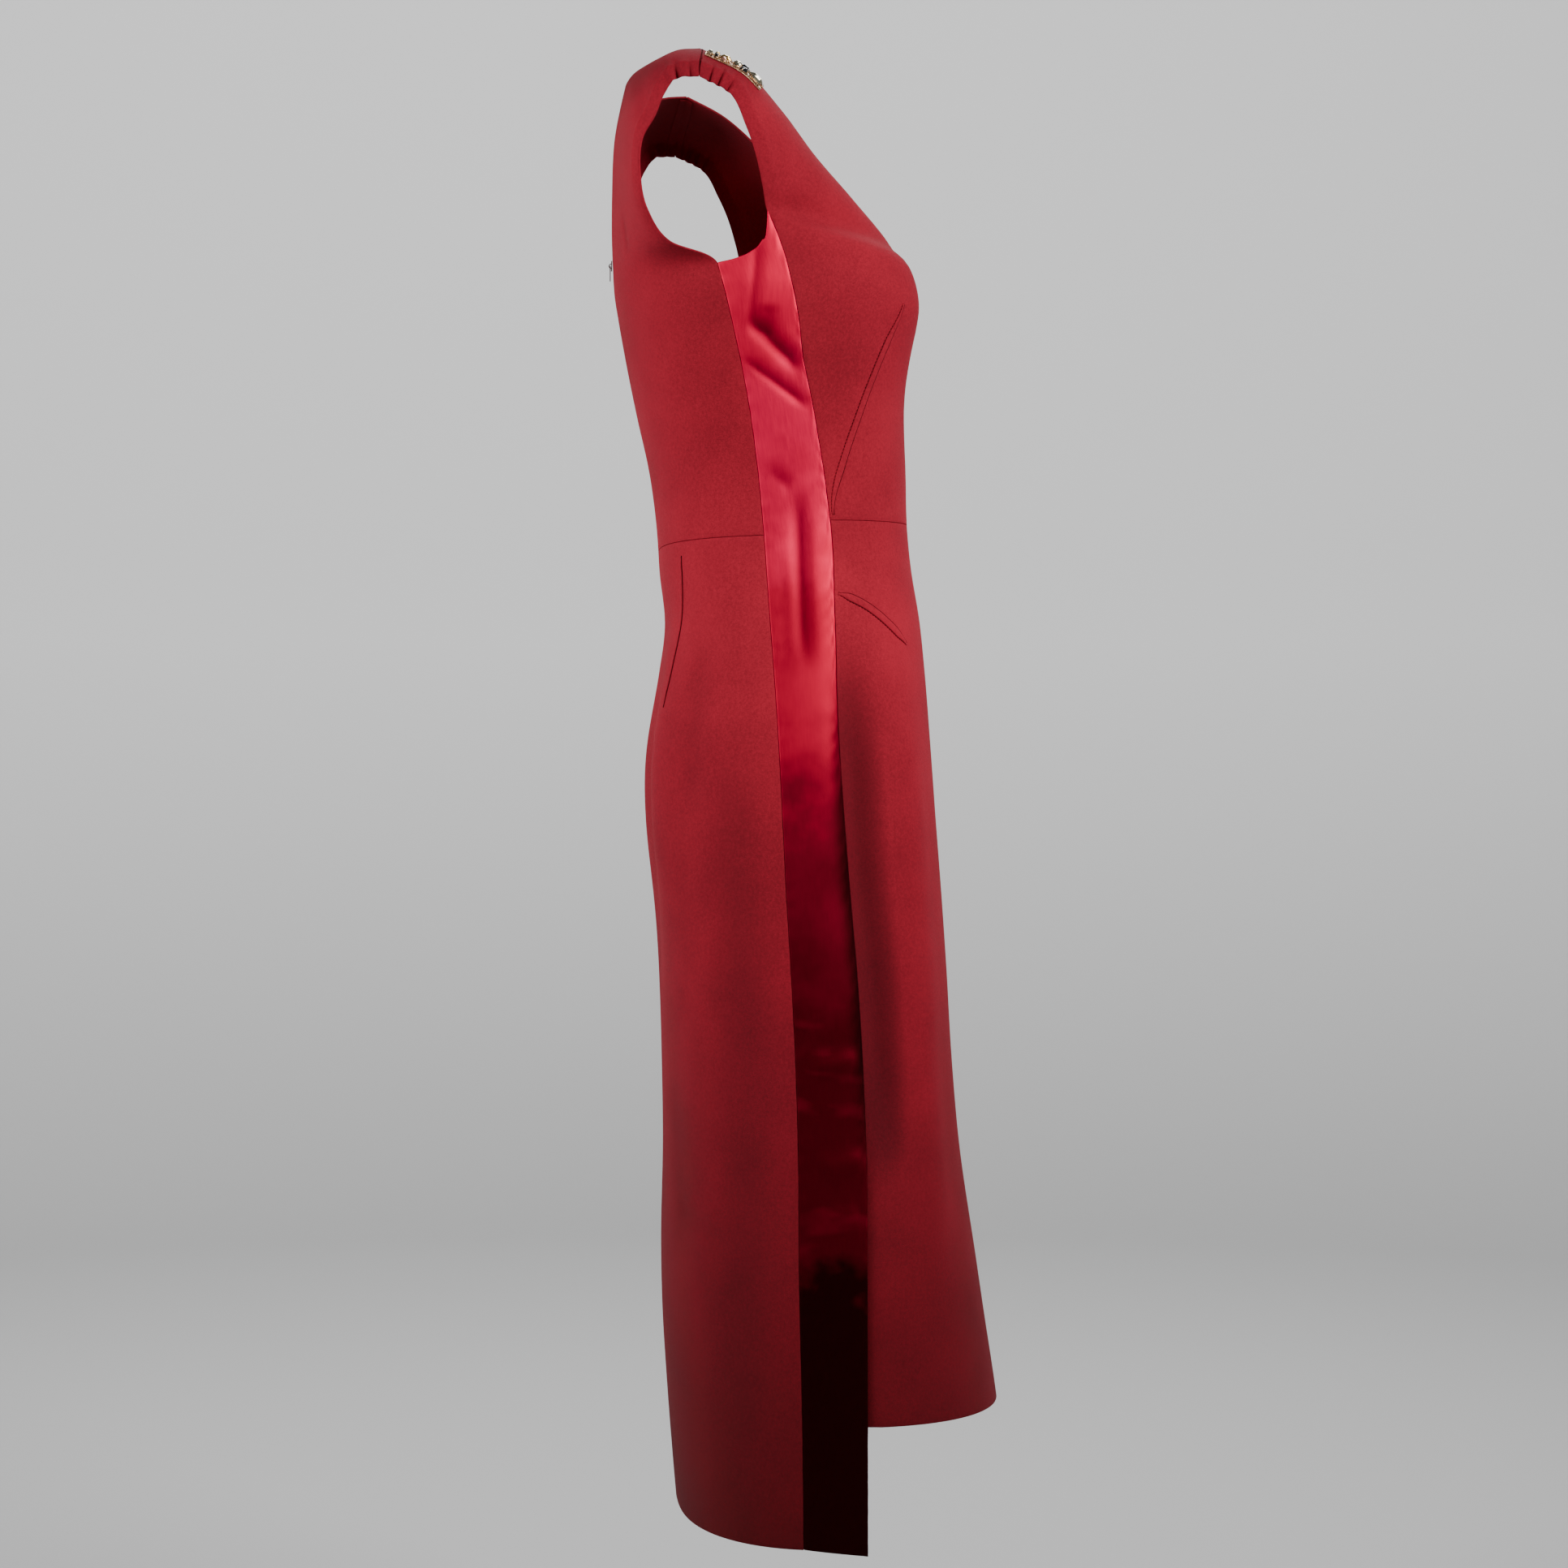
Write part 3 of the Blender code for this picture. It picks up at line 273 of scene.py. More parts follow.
def bezier_rows(table, across):
    """Each row of an upper table as the cubic (1-t)^3 a + 3(1-t)^2 t b + 3(1-t) t^2 c + t^3 d."""
    rows = []
    t = across[:, None]
    for start, end, leaving, reaching, _ in table:
        start = np.array(start)
        end = np.array(end)
        points = ((1 - t)**3 * start + 3 * (1 - t)**2 * t * (start + np.array(leaving))
                  + 3 * (1 - t) * t**2 * (end - np.array(reaching)) + t**3 * end)
        from_side = TOP_SIDE_Y - points[:, 1]
        rows.append(with_bumps(points, from_side / np.hypot(points[:, 0], from_side)))
    return rows


def section_rows(inner_z, outer_z, inner_angle, outer_angle, across):
    """Rows of the body, each sloping from its inner to its outer height and angle."""
    inner_z, outer_z, inner_angle, outer_angle = (
        np.broadcast_to(np.asarray(edge, dtype=float), np.shape(outer_z))[:, None]
        for edge in (inner_z, outer_z, inner_angle, outer_angle))
    return body_point(inner_z + (outer_z - inner_z) * across,
                      inner_angle + (outer_angle - inner_angle) * across)


def loft(keys, steps, corner):
    """Hermite surface through key rows, its inner edge kept sharp at the corner row."""
    keys = np.array(keys)
    distance = np.linalg.norm(np.diff(keys, axis=0), axis=2).mean(axis=1)
    stations = np.concatenate(([0.0], np.cumsum(distance)))
    slopes = np.gradient(keys, stations, axis=0)
    fade = smooth_step(np.linspace(0.0, 1.0, keys.shape[1]) / CORNER_FADE)
    slopes[corner] = slopes[corner] * fade[:, None]
    at = [stations[:1]]
    for row, count in enumerate(steps):
        at.append(np.linspace(stations[row], stations[row + 1], count * FINER + 1)[1:])
    at = np.concatenate(at)
    return smooth_table(at, stations, keys, slopes), at


def path_lengths(points, axis):
    """Distance travelled along a grid of points in one direction, starting at 0."""
    steps = np.linalg.norm(np.diff(points, axis=axis), axis=-1)
    start = np.zeros_like(np.take(steps, [0], axis=axis))
    return np.concatenate((start, np.cumsum(steps, axis=axis)), axis=axis)


def facing(points):
    """1 where a grid winds so that down x across points away from the wearer, and -1 if not."""
    normals = np.cross(np.gradient(points, axis=0), np.gradient(points, axis=1))
    from_middle = points - np.array((0.0, BODY_MIDDLE_Y, 0.0))
    from_middle[..., 2] = np.maximum(points[..., 2] - CHEST_Z, 0.0)
    return float(np.sign((normals * from_middle).sum()))


def unit(vectors):
    """Vectors scaled to length 1."""
    return vectors / np.maximum(np.linalg.norm(vectors, axis=-1, keepdims=True), TINY)


def outward_normals(points):
    """Unit normals of a grid, down x across, turned away from the wearer."""
    normals = np.cross(np.gradient(points, axis=0), np.gradient(points, axis=1))
    return facing(points) * unit(normals)


def fold_height(points, folds):
    """Sum of height * exp(-(distance/width)^2) along each fold's line, fading at its ends."""
    x, y, z = np.moveaxis(points, -1, 0)
    side_y = ring_half(np.minimum(z, RING_HEIGHTS[-1]), True)[1]
    around = np.arctan2(x, side_y - y) * FOLD_RADIUS
    total = np.zeros(z.shape)
    for angle_1, z_1, angle_2, z_2, width, height in folds:
        start_x = math.radians(angle_1) * FOLD_RADIUS
        run_x = math.radians(angle_2) * FOLD_RADIUS - start_x
        run_z = z_2 - z_1
        length = math.hypot(run_x, run_z)
        along = ((around - start_x) * run_x + (z - z_1) * run_z) / length**2
        across = ((around - start_x) * run_z - (z - z_1) * run_x) / length
        start_fade = smooth_step((along + FOLD_RUN_ON) / FOLD_END)
        end_fade = smooth_step((1.0 + FOLD_RUN_ON - along) / FOLD_END)
        total = total + height * start_fade * end_fade * np.exp(-(across / width) ** 2)
    return total


def folded(points, folds):
    """Moves a grid along its normals by the folds."""
    return points + outward_normals(points) * fold_height(points, folds)[..., None]


def crease_shade(points):
    """Shade held in the troughs of a grid's own side: 1 - exp(-depth / CREASE_DEPTH)."""
    side = "left" if points[..., 0].mean() > 0 else "right"
    on_left = np.stack((np.abs(points[..., 0]), points[..., 1], points[..., 2]), axis=-1)
    return 1.0 - np.exp(-np.maximum(-fold_height(on_left, FOLDS[side]), 0.0) / CREASE_DEPTH)


def armhole_edge(points, gathers):
    """Gathers pressed in beside the shoulder, and the soft ridge where the edge rolls under."""
    edge = points[:, -1]
    down = path_lengths(edge, 0)
    from_edge = np.linalg.norm(points - edge[:, None], axis=2)
    depth = np.zeros(points.shape[:2])
    for distance, width, trough in gathers:
        past = down[:, None] - distance
        depth += trough * np.exp(-(past / width) ** 2)
        depth -= GATHER_SWELL * trough * np.exp(-((past - 2 * width) / width) ** 2)
    depth *= np.exp(-(from_edge / GATHER_REACH) ** 2)
    fade = smooth_step(1.0 - down / ROLL_LENGTH)[:, None]
    from_roll = np.hypot(from_edge - ROLL_DISTANCE, ROLL_SOFTNESS) - ROLL_SOFTNESS
    ridge = ROLL_HEIGHT * fade * np.exp(-from_roll / ROLL_WIDTH)
    return points + (ridge - depth)[..., None] * outward_normals(points)


def flipped(points, sign):
    """The same grid on the side of the dress that the sign names."""
    return points * np.array((sign, 1.0, 1.0))


def grid_quads(points):
    """Corner numbers of the quads of a grid."""
    rows, columns = points.shape[:2]
    corner = (np.arange(rows - 1)[:, None] * columns + np.arange(columns - 1)).ravel()
    return np.stack((corner, corner + columns, corner + columns + 1, corner + 1), axis=1)


def placed(name, data):
    """Object in the scene that holds the data."""
    made = bpy.data.objects.new(name, data)
    bpy.context.scene.collection.objects.link(made)
    return made


def cloth_mesh(name, grids, look, thickness=WALL, soft_edge=EDGE_ROUNDING):
    """Grids of points as one wall of cloth: quads, a UV map in metres, and thickness.

    u is the distance across from the inner edge and v the distance down. Grids that share
    an edge are welded. The wall is half to each side, and its rims are rounded.
    """
    flats = []
    quads = []
    first_vertex = 0
    for points in grids:
        faces = grid_quads(points)
        out = facing(points)
        quads.append((faces if out > 0 else faces[:, ::-1]) + first_vertex)
        first_vertex += points[..., 0].size
        uv = np.stack((out * path_lengths(points, 1), path_lengths(points, 0)), axis=-1)
        flats.append(uv.reshape(-1, 2))
    quads = np.concatenate(quads)
    mesh = bpy.data.meshes.new(name)
    mesh.from_pydata(np.concatenate([points.reshape(-1, 3) for points in grids]), [], quads)
    mesh.uv_layers.new(name="cloth")
    mesh.uv_layers["cloth"].data.foreach_set("uv", np.concatenate(flats)[quads.ravel()].ravel())
    # Painted shade for the troughs of the folds, kept on each point for the materials to darken
    # their colour.
    creases = mesh.attributes.new("painted_crease_shade", "FLOAT", "POINT")
    shades = [crease_shade(points).ravel() for points in grids]
    creases.data.foreach_set("value", np.concatenate(shades))
    if len(grids) > 1:
        shape = bmesh.new()
        shape.from_mesh(mesh)
        bmesh.ops.remove_doubles(shape, verts=shape.verts, dist=WELD_DISTANCE)
        shape.to_mesh(mesh)
        shape.free()
    mesh.shade_smooth()
    piece = placed(name, mesh)
    mesh.materials.append(look)
    wall = piece.modifiers.new("wall", "SOLIDIFY")
    wall.thickness = thickness
    wall.offset = 0.0
    if soft_edge:
        rim = piece.modifiers.new("rim", "BEVEL")
        rim.width = soft_edge
        rim.segments = 2
        rim.angle_limit = EDGE_ANGLE
    return piece


def panel_cut(grids):
    """Width, length and area of the flat cut of a panel, from its surface."""
    width = sum(path_lengths(points, 1)[:, -1].max() for points in grids)
    length = max(path_lengths(points, 0)[-1].max() for points in grids)
    area = 0.0
    for points in grids:
        crossed = np.cross(points[1:, 1:] - points[:-1, :-1], points[1:, :-1] - points[:-1, 1:])
        area += np.linalg.norm(crossed, axis=2).sum() / 2
    return float(width), float(length), float(min(area, width * length))


def sew_panel(name, nodes, grids, look, thickness=WALL,
              soft_edge=EDGE_ROUNDING):
    piece = cloth_mesh(name, grids, look, thickness, soft_edge)
    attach(piece, "dress")
    if nodes:
        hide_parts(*nodes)


def node(tree, kind, **sockets):
    """Adds a node and sets the sockets given by name, with values or with links."""
    made = tree.nodes.new(kind)
    for name, value in sockets.items():
        wire(tree, made.inputs[name.replace("_", " ")], value)
    return made


def wire(tree, socket, value):
    """Sets a socket to a value, or links it when the value is another socket."""
    if isinstance(value, bpy.types.NodeSocket):
        tree.links.new(value, socket)
    else:
        socket.default_value = value


def ramp(tree, factor, *stops):
    """Colour ramp through (position, colour) stops."""
    made = node(tree, "ShaderNodeValToRGB")
    wire(tree, made.inputs["Fac"], factor)
    elements = made.color_ramp.elements
    while len(elements) < len(stops):
        elements.new(0.5)
    for element, (position, colour) in zip(elements, stops):
        element.position = position
        element.color = (*colour, 1.0)
    return made.outputs["Color"]


def maths(tree, operation, *values):
    """Math node result."""
    made = tree.nodes.new("ShaderNodeMath")
    made.operation = operation
    for socket, value in zip(made.inputs, values):
        wire(tree, socket, value)
    return made.outputs["Value"]


def remapped(tree, value, lowest, highest, at_lowest, at_highest):
    """A value moved evenly from one range to another."""
    return node(tree, "ShaderNodeMapRange", Value=value, From_Min=lowest, From_Max=highest,
                To_Min=at_lowest, To_Max=at_highest).outputs["Result"]


def mixed(tree, factor, first, second, blend="MIX"):
    """Colour mix of two colours or links."""
    made = tree.nodes.new("ShaderNodeMix")
    made.data_type = "RGBA"
    made.blend_type = blend
    wire(tree, made.inputs[0], factor)
    wire(tree, made.inputs[6], first)
    wire(tree, made.inputs[7], second)
    return made.outputs[2]


def group_with(name, inputs, outputs):
    """An empty node group with the named sockets, and its two end nodes."""
    group = bpy.data.node_groups.new(name, "ShaderNodeTree")
    for label, kind, value in inputs:
        socket = group.interface.new_socket(label, in_out="INPUT", socket_type=kind)
        if value is not None:
            socket.default_value = value
    for label, kind in outputs:
        group.interface.new_socket(label, in_out="OUTPUT", socket_type=kind)
    return group, group.nodes.new("NodeGroupInput"), group.nodes.new("NodeGroupOutput")


def painted_crease_shading(tree, least):
    """Painted shade: a colour multiplier that falls from 1 to the least in the troughs of the
    cloth's folds.
    """
    painted_crease_shade = node(tree, "ShaderNodeAttribute")
    painted_crease_shade.attribute_name = "painted_crease_shade"
    return remapped(tree, painted_crease_shade.outputs["Fac"], 0.0, 1.0, 1.0, least)


def placed_group(tree, group, **sockets):
    """A group node in a material, with its own values."""
    made = tree.nodes.new("ShaderNodeGroup")
    made.node_tree = group
    for name, value in sockets.items():
        wire(tree, made.inputs[name.replace("_", " ")], value)
    return made


def new_look(name):
    """A material with its tree and its shader."""
    look = bpy.data.materials.new(name)
    look.use_nodes = True
    return look, look.node_tree, look.node_tree.nodes["Principled BSDF"]


def set_values(shader, **values):
    """Sets the shader's own sockets to constants."""
    for name, value in values.items():
        shader.inputs[name.replace("_", " ")].default_value = value


def cloth_coordinates(tree):
    """Where a point is on the flat cloth, where it is in space, and its height."""
    uv = node(tree, "ShaderNodeUVMap")
    uv.uv_map = "cloth"
    place = node(tree, "ShaderNodeTexCoord").outputs["Object"]
    return uv.outputs["UV"], place, node(tree, "ShaderNodeSeparateXYZ", Vector=place).outputs["Z"]


def noise(tree, place, scale, detail):
    """Noise at a place."""
    made = node(tree, "ShaderNodeTexNoise", Vector=place, Scale=scale, Detail=detail)
    return made.outputs["Fac"]


def add_bump(tree, shader, height, strength, distance):
    """Bump on a shader from a height."""
    bump = node(tree, "ShaderNodeBump", Height=height, Strength=strength, Distance=distance)
    wire(tree, shader.inputs["Normal"], bump.outputs["Normal"])


def shaded(tree, colour, shade):
    """A colour multiplied by a shade."""
    tone = node(tree, "ShaderNodeCombineColor", Red=shade, Green=shade, Blue=shade)
    return mixed(tree, 1.0, colour, tone.outputs["Color"], "MULTIPLY")


def make_weave():
    """Yarns over and under: sin u * sin v on wavering threads, with slubs from noise."""
    group, start, end = group_with(
        "weave", (("Vector", "NodeSocketVector", None), ("Across", "NodeSocketFloat", 1800.0),
                  ("Down", "NodeSocketFloat", 1800.0), ("Waver", "NodeSocketFloat", 0.3)),
        (("Height", "NodeSocketFloat"), ("Shade", "NodeSocketFloat")))
    slub = noise(group, start.outputs["Vector"], 900.0, 2.0)
    bend = maths(group, "MULTIPLY", slub, start.outputs["Waver"])
    split = node(group, "ShaderNodeSeparateXYZ", Vector=start.outputs["Vector"])
    yarns = []
    for axis, pitch in (("X", "Across"), ("Y", "Down")):
        turns = maths(group, "MULTIPLY", split.outputs[axis], start.outputs[pitch])
        angle = maths(group, "MULTIPLY", maths(group, "ADD", turns, bend), 2 * math.pi)
        yarns.append(maths(group, "SINE", angle))
    crossed = maths(group, "MULTIPLY", *yarns)
    height = maths(group, "ADD", maths(group, "MULTIPLY", crossed, 0.5), slub)
    group.links.new(height, end.inputs["Height"])
    group.links.new(slub, end.inputs["Shade"])
    return group


WEAVE = make_weave()
CREPE_LENGTH = 1.24
# Painted shade and light in the crepe's colour by height: darker on the strap top, lightest about
# the waist, deepening towards the hem.
CREPE_PAINTED_SHADING = (
    # share of the way down, colour
    (0.018, (0.160, 0.0044, 0.0115)), (0.045, (0.265, 0.0080, 0.0200)),
    (0.20, (0.265, 0.0080, 0.0200)), (0.34, (0.320, 0.0100, 0.0245)),
    (0.50, (0.265, 0.0080, 0.0200)), (1.0, (0.060, 0.0010, 0.0026)),
)
# Least multiplier of the painted shade in the crepe's fold troughs.
CREPE_PAINTED_CREASE_SHADE = 0.50


def make_crepe():
    """Matte crepe: pebbled weave, faint mottling, painted shade on the strap top, painted light at
    the waist and painted shade deepening to the hem.
    """
    look, tree, shader = new_look("crepe")
    uv, place, height = cloth_coordinates(tree)
    weave = placed_group(tree, WEAVE, Vector=uv, Across=1500.0, Down=1350.0, Waver=0.6)
    # Painted shade and light by height.
    base = ramp(tree, remapped(tree, height, 0.0, -CREPE_LENGTH, 0.0, 1.0), *CREPE_PAINTED_SHADING)
    blend = maths(tree, "ADD", noise(tree, place, 14.0, 4.0), noise(tree, place, 420.0, 3.0))
    mottle = remapped(tree, blend, 0.7, 1.3, 0.80, 1.20)
    grain = remapped(tree, weave.outputs["Shade"], 0.3, 0.7, 0.82, 1.14)
    shade = maths(tree, "MULTIPLY", mottle, grain)
    # Painted shade in the troughs of the folds.
    shade = maths(tree, "MULTIPLY", shade, painted_crease_shading(tree, CREPE_PAINTED_CREASE_SHADE))
    wire(tree, shader.inputs["Base Color"], shaded(tree, base, shade))
    rough = remapped(tree, weave.outputs["Shade"], 0.3, 0.7, 0.72, 0.86)
    wire(tree, shader.inputs["Roughness"], rough)
    add_bump(tree, shader, weave.outputs["Height"], 0.5, 0.00025)
    set_values(shader, Specular_IOR_Level=0.10, Sheen_Weight=0.05, Sheen_Roughness=0.5,
               Sheen_Tint=(0.9, 0.12, 0.18, 1.0))
    return look


CREPE = make_crepe()


def bodice_half(side, upper, inner_z, outer_z, middle_angle, seam_table, corner, gathers):
    """Half of a bodice: upper rows from neckline to armhole, then body sections to the waist."""
    across = np.linspace(0.0, 1.0, PANEL_COLUMNS)
    towards_back = 1.0 if middle_angle else -1.0
    inner_z[-1] += HALF_GAP
    outer_z[-1] += HALF_GAP
    outer_angle = seam_angle(outer_z, seam_table) + towards_back * gap_angle(outer_z)
    keys = bezier_rows(upper, across)
    keys += list(section_rows(inner_z, outer_z, middle_angle, outer_angle, across))
    points, stations = loft(keys, [row[-1] for row in upper] + [1] * (len(inner_z) - 1), corner)
    points[0, :, 1] += towards_back * SHOULDER_HALF_GAP
    return armhole_edge(folded(points, FOLDS[side]), gathers), stations


def front_bodice_half(side):
    """Half of the front bodice, and how far down each of its rows is."""
    inner_z = np.linspace(NECK_POINT_Z, WAIST_FRONT_Z, BODICE_STEPS)
    outer_z = np.linspace(FRONT_CORNER_Z, WAIST_SEAM_FRONT_Z, BODICE_STEPS + 1)[1:]
    return bodice_half(side, FRONT_UPPER, inner_z, outer_z, 0.0, FRONT_SEAM_TABLE,
                       len(FRONT_UPPER), FRONT_GATHERS)


front_halves = {side: front_bodice_half(side) for side, _ in SIDES}
front_grids = [flipped(front_halves[side][0], sign) for side, sign in SIDES]
sew_panel("front_bodice_cloth", ["front_bodice"], front_grids, CREPE)

# Back bodice. Two panels of the same crepe that meet at the middle back, each with half of
# the high back neck and a shoulder strap, and two gathers at the armhole by the shoulder.

SIDE_SEAM_BACK = (
    # z, y
    (-0.182, -0.0160), (-0.230, -0.0280), (-0.300, -0.0430), (-0.365, -0.0520),
    (-0.404, -0.0555), (-0.470, -0.0590), (-0.545, -0.0630), (-0.635, -0.0670),
    (-0.700, -0.0700), (-0.760, -0.0735), (-0.833, -0.0770), (-0.905, -0.0790),
    (-1.010, -0.0797), (-1.127, -0.0820), (-1.235, -0.0830),
)
BACK_SEAM_TABLE = table_by_height(SIDE_SEAM_BACK)
BACK_UPPER = (
    # neckline point, armhole point, leaves the neckline, reaches the armhole, steps to next
    ((0.0980, -0.0050, 0.0020), (0.1750, 0.0010, -0.0370),
     (0.044, 0.000, -0.012), (-0.002, 0.000, -0.021), 5),
    ((0.0955, 0.0120, 0.0003), (0.1750, 0.0200, -0.0390),
     (0.040, 0.004, -0.006), (-0.001, -0.006, -0.018), 3),
    ((0.0840, 0.0270, -0.0048), (0.1740, 0.0286, -0.0503),
     (0.042, 0.007, -0.006), (0.002, -0.010, -0.022), 2),
    ((0.0500, 0.0455, -0.0080), (0.1700, 0.0364, -0.0680),
     (0.050, 0.003, -0.008), (0.008, -0.012, -0.024), 2),
    ((0.0000, 0.0530, -0.0100), (0.1640, 0.0464, -0.0854),
     (0.055, 0.001, -0.006), (0.012, -0.014, -0.024), 3),
    ((0.0000, 0.0622, -0.0550), (0.1560, 0.0480, -0.1120),
     (0.055, -0.002, -0.004), (0.012, -0.016, -0.010), 2),
    ((0.0000, 0.0645, -0.1050), (0.1500, 0.0415, -0.1410),
     (0.055, -0.004, -0.002), (0.008, -0.018, -0.006), 2),
    ((0.0000, 0.0644, -0.1500), (0.1470, 0.0230, -0.1660),
     (0.055, -0.003, 0.000), (0.005, -0.028, -0.003), 2),
)
NAPE_ROW = 4
BACK_CORNER_Z = -0.182
NAPE_ROWS = 76
BACK_FIRST_SECTION_Z = -0.190
WAIST_BACK_Z = -0.408
WAIST_SEAM_BACK_Z = -0.404
BACK_GATHERS = ((0.0070, 0.0018, 0.0020), (0.0175, 0.0024, 0.0052))


def back_bodice_half(side):
    """One back bodice: upper rows round the neck and shoulder, then body sections."""
    inner_z = np.linspace(BACK_FIRST_SECTION_Z, WAIST_BACK_Z, BODICE_STEPS + 1)
    outer_z = np.linspace(BACK_CORNER_Z, WAIST_SEAM_BACK_Z, BODICE_STEPS + 1)
    points, _ = bodice_half(side, BACK_UPPER, inner_z, outer_z, math.pi, BACK_SEAM_TABLE,
                            NAPE_ROW, BACK_GATHERS)
    points[:, 0, 0] = np.maximum(points[:, 0, 0], HALF_GAP)
    return points


back_halves = {side: back_bodice_half(side) for side, _ in SIDES}
for side, sign in SIDES:
    grid = flipped(back_halves[side], sign)
    sew_panel(f"back_bodice_cloth_{side}", [f"back_bodice_{side}"], [grid], CREPE)

# Side panels. One long strip of lustrous crimson satin a side, from the underarm to the hem
# with no waist seam. Besides its gloss, it has a painted highlight at the top and painted shade
# below.

UNDERARM = (
    # y, z
    (-0.0567, -0.1400), (-0.0555, -0.1540), (-0.0514, -0.1640),
    (-0.0424, -0.1730), (-0.0303, -0.1786), (-0.0160, -0.1820),
)
UNDERARM_FADE = 0.09
SIDE_HEM_FRONT_Z = -1.2335
SIDE_HEM_BACK_Z = -1.2275
SIDE_ROWS = 480
PUCKER_DEPTH = 0.00022
PUCKER_REACH = 0.008
SIDE_COLUMNS = 41
SATIN_TOP_Z = -0.14
SATIN_BOTTOM_Z = -1.24
# Painted highlight and shade in the satin's colour by height: brightest a little below the
# underarm, then deepening to near black towards the hem.
SATIN_PAINTED_SHADING = (
    # share of the way down, colour
    (0.09, (0.720, 0.0035, 0.0520)), (0.14, (0.860, 0.0060, 0.0760)),
    (0.18, (0.860, 0.0060, 0.0760)), (0.29, (0.460, 0.0035, 0.0310)),
    (0.39, (0.460, 0.0035, 0.0310)), (0.47, (0.210, 0.0040, 0.0160)),
    (0.62, (0.080, 0.0012, 0.0050)), (0.765, (0.080, 0.0012, 0.0050)),
    (0.80, (0.016, 0.0010, 0.0012)),
)
# Colour of the painted glints, crimson highlights painted low on the satin.
SATIN_PAINTED_GLINT = (0.170, 0.0030, 0.0120, 1.0)
# Least multiplier of the painted shade in the satin's fold troughs.
SATIN_PAINTED_CREASE_SHADE = 0.10
BLACK = (0.0, 0.0, 0.0)
WHITE = (1.0, 1.0, 1.0)


def side_panel(side):
    """Strip between the two side seams, its top cut to the underarm curve."""
    across = np.linspace(0.0, 1.0, SIDE_COLUMNS)
    t = np.linspace(0.0, 1.0, SIDE_ROWS + 1)
    front_z = FRONT_CORNER_Z + (SIDE_HEM_FRONT_Z - FRONT_CORNER_Z) * t
    back_z = BACK_CORNER_Z + (SIDE_HEM_BACK_Z - BACK_CORNER_Z) * t
    underarm = np.array(UNDERARM)
    reach = (underarm[:, 0] - underarm[0, 0]) / (underarm[-1, 0] - underarm[0, 0])
    straight = underarm[0, 1] + (underarm[-1, 1] - underarm[0, 1]) * reach
    bend = smooth_table(across, reach, underarm[:, 1] - straight)
    fade = 1.0 - smooth_step(t / UNDERARM_FADE)
    z = front_z[:, None] + (back_z - front_z)[:, None] * across + bend * fade[:, None]
    start = (seam_angle(front_z, FRONT_SEAM_TABLE) + gap_angle(front_z))[:, None]
    end = (seam_angle(back_z, BACK_SEAM_TABLE) - gap_angle(back_z))[:, None]
    return puckered(folded(body_point(z, start + (end - start) * across), FOLDS[side]))


def puckered(points):
    """Small uneven ripples along both long edges, where the seam draws the cloth in.

    Two sines of the distance down, the first of them drifting in step with a slower one.
    """
    width = path_lengths(points, 1)
    nearest = np.minimum(width, width[:, -1:] - width)
    down = path_lengths(points, 0)
    ripple = np.sin(down / 0.0031 + 2.0 * np.sin(down / 0.017)) + 0.6 * np.sin(down / 0.0083 + 1.3)
    depth = PUCKER_DEPTH * ripple * np.exp(-(nearest / PUCKER_REACH) ** 2)
    return points + depth[..., None] * outward_normals(points)


def make_satin():
    """Satin: fine lengthwise floats that streak the gloss, a painted crimson highlight above and
    painted shade to maroon below.
    """
    look, tree, shader = new_look("satin")
    uv, place, height = cloth_coordinates(tree)
    weave = placed_group(tree, WEAVE, Vector=uv, Across=2400.0, Down=500.0, Waver=0.5)
    stretch = node(tree, "ShaderNodeMapping", Vector=uv, Scale=(700.0, 60.0, 1.0))
    streak = noise(tree, stretch.outputs["Vector"], 1.0, 3.0)
    # Cloudy noise that makes the edges of the painted highlight and shade uneven.
    cloud = noise(tree, place, 22.0, 3.0)
    uneven = maths(tree, "MULTIPLY", maths(tree, "SUBTRACT", cloud, 0.5), 0.22)
    height = maths(tree, "ADD", height, uneven)
    # Painted highlight and shade by height.
    depth = remapped(tree, height, SATIN_TOP_Z, SATIN_BOTTOM_Z, 0.0, 1.0)
    base = ramp(tree, depth, *SATIN_PAINTED_SHADING)
    # Painted glints: blotchy crimson highlights painted into the colour in a band low on the
    # panel.
    painted_glint_mapping = node(tree, "ShaderNodeMapping", Vector=place, Scale=(16.0, 16.0, 42.0))
    painted_glint_noise = noise(tree, painted_glint_mapping.outputs["Vector"], 1.0, 2.0)
    painted_glints = ramp(tree, painted_glint_noise, (0.55, BLACK), (0.70, WHITE))
    painted_glint_band = ramp(tree, depth, (0.54, BLACK), (0.62, WHITE), (0.72, WHITE), (0.79, BLACK))
    base = mixed(tree, maths(tree, "MULTIPLY", painted_glints, painted_glint_band), base, SATIN_PAINTED_GLINT)
    shade = remapped(tree, streak, 0.3, 0.7, 0.94, 1.05)
    # Painted shade in the troughs of the folds.
    shade = maths(tree, "MULTIPLY", shade, painted_crease_shading(tree, SATIN_PAINTED_CREASE_SHADE))
    wire(tree, shader.inputs["Base Color"], shaded(tree, base, shade))
    wire(tree, shader.inputs["Roughness"], remapped(tree, streak, 0.3, 0.7, 0.51, 0.57))
    add_bump(tree, shader, weave.outputs["Height"], 0.25, 0.00012)
    set_values(shader, Metallic=0.95, Specular_IOR_Level=0.15)
    return look


SATIN = make_satin()
side_grids = {side: side_panel(side) for side, _ in SIDES}
for side, sign in SIDES:
    grid = flipped(side_grids[side], sign)
    sew_panel(f"side_panel_cloth_{side}", [f"side_panel_{side}"], [grid], SATIN)

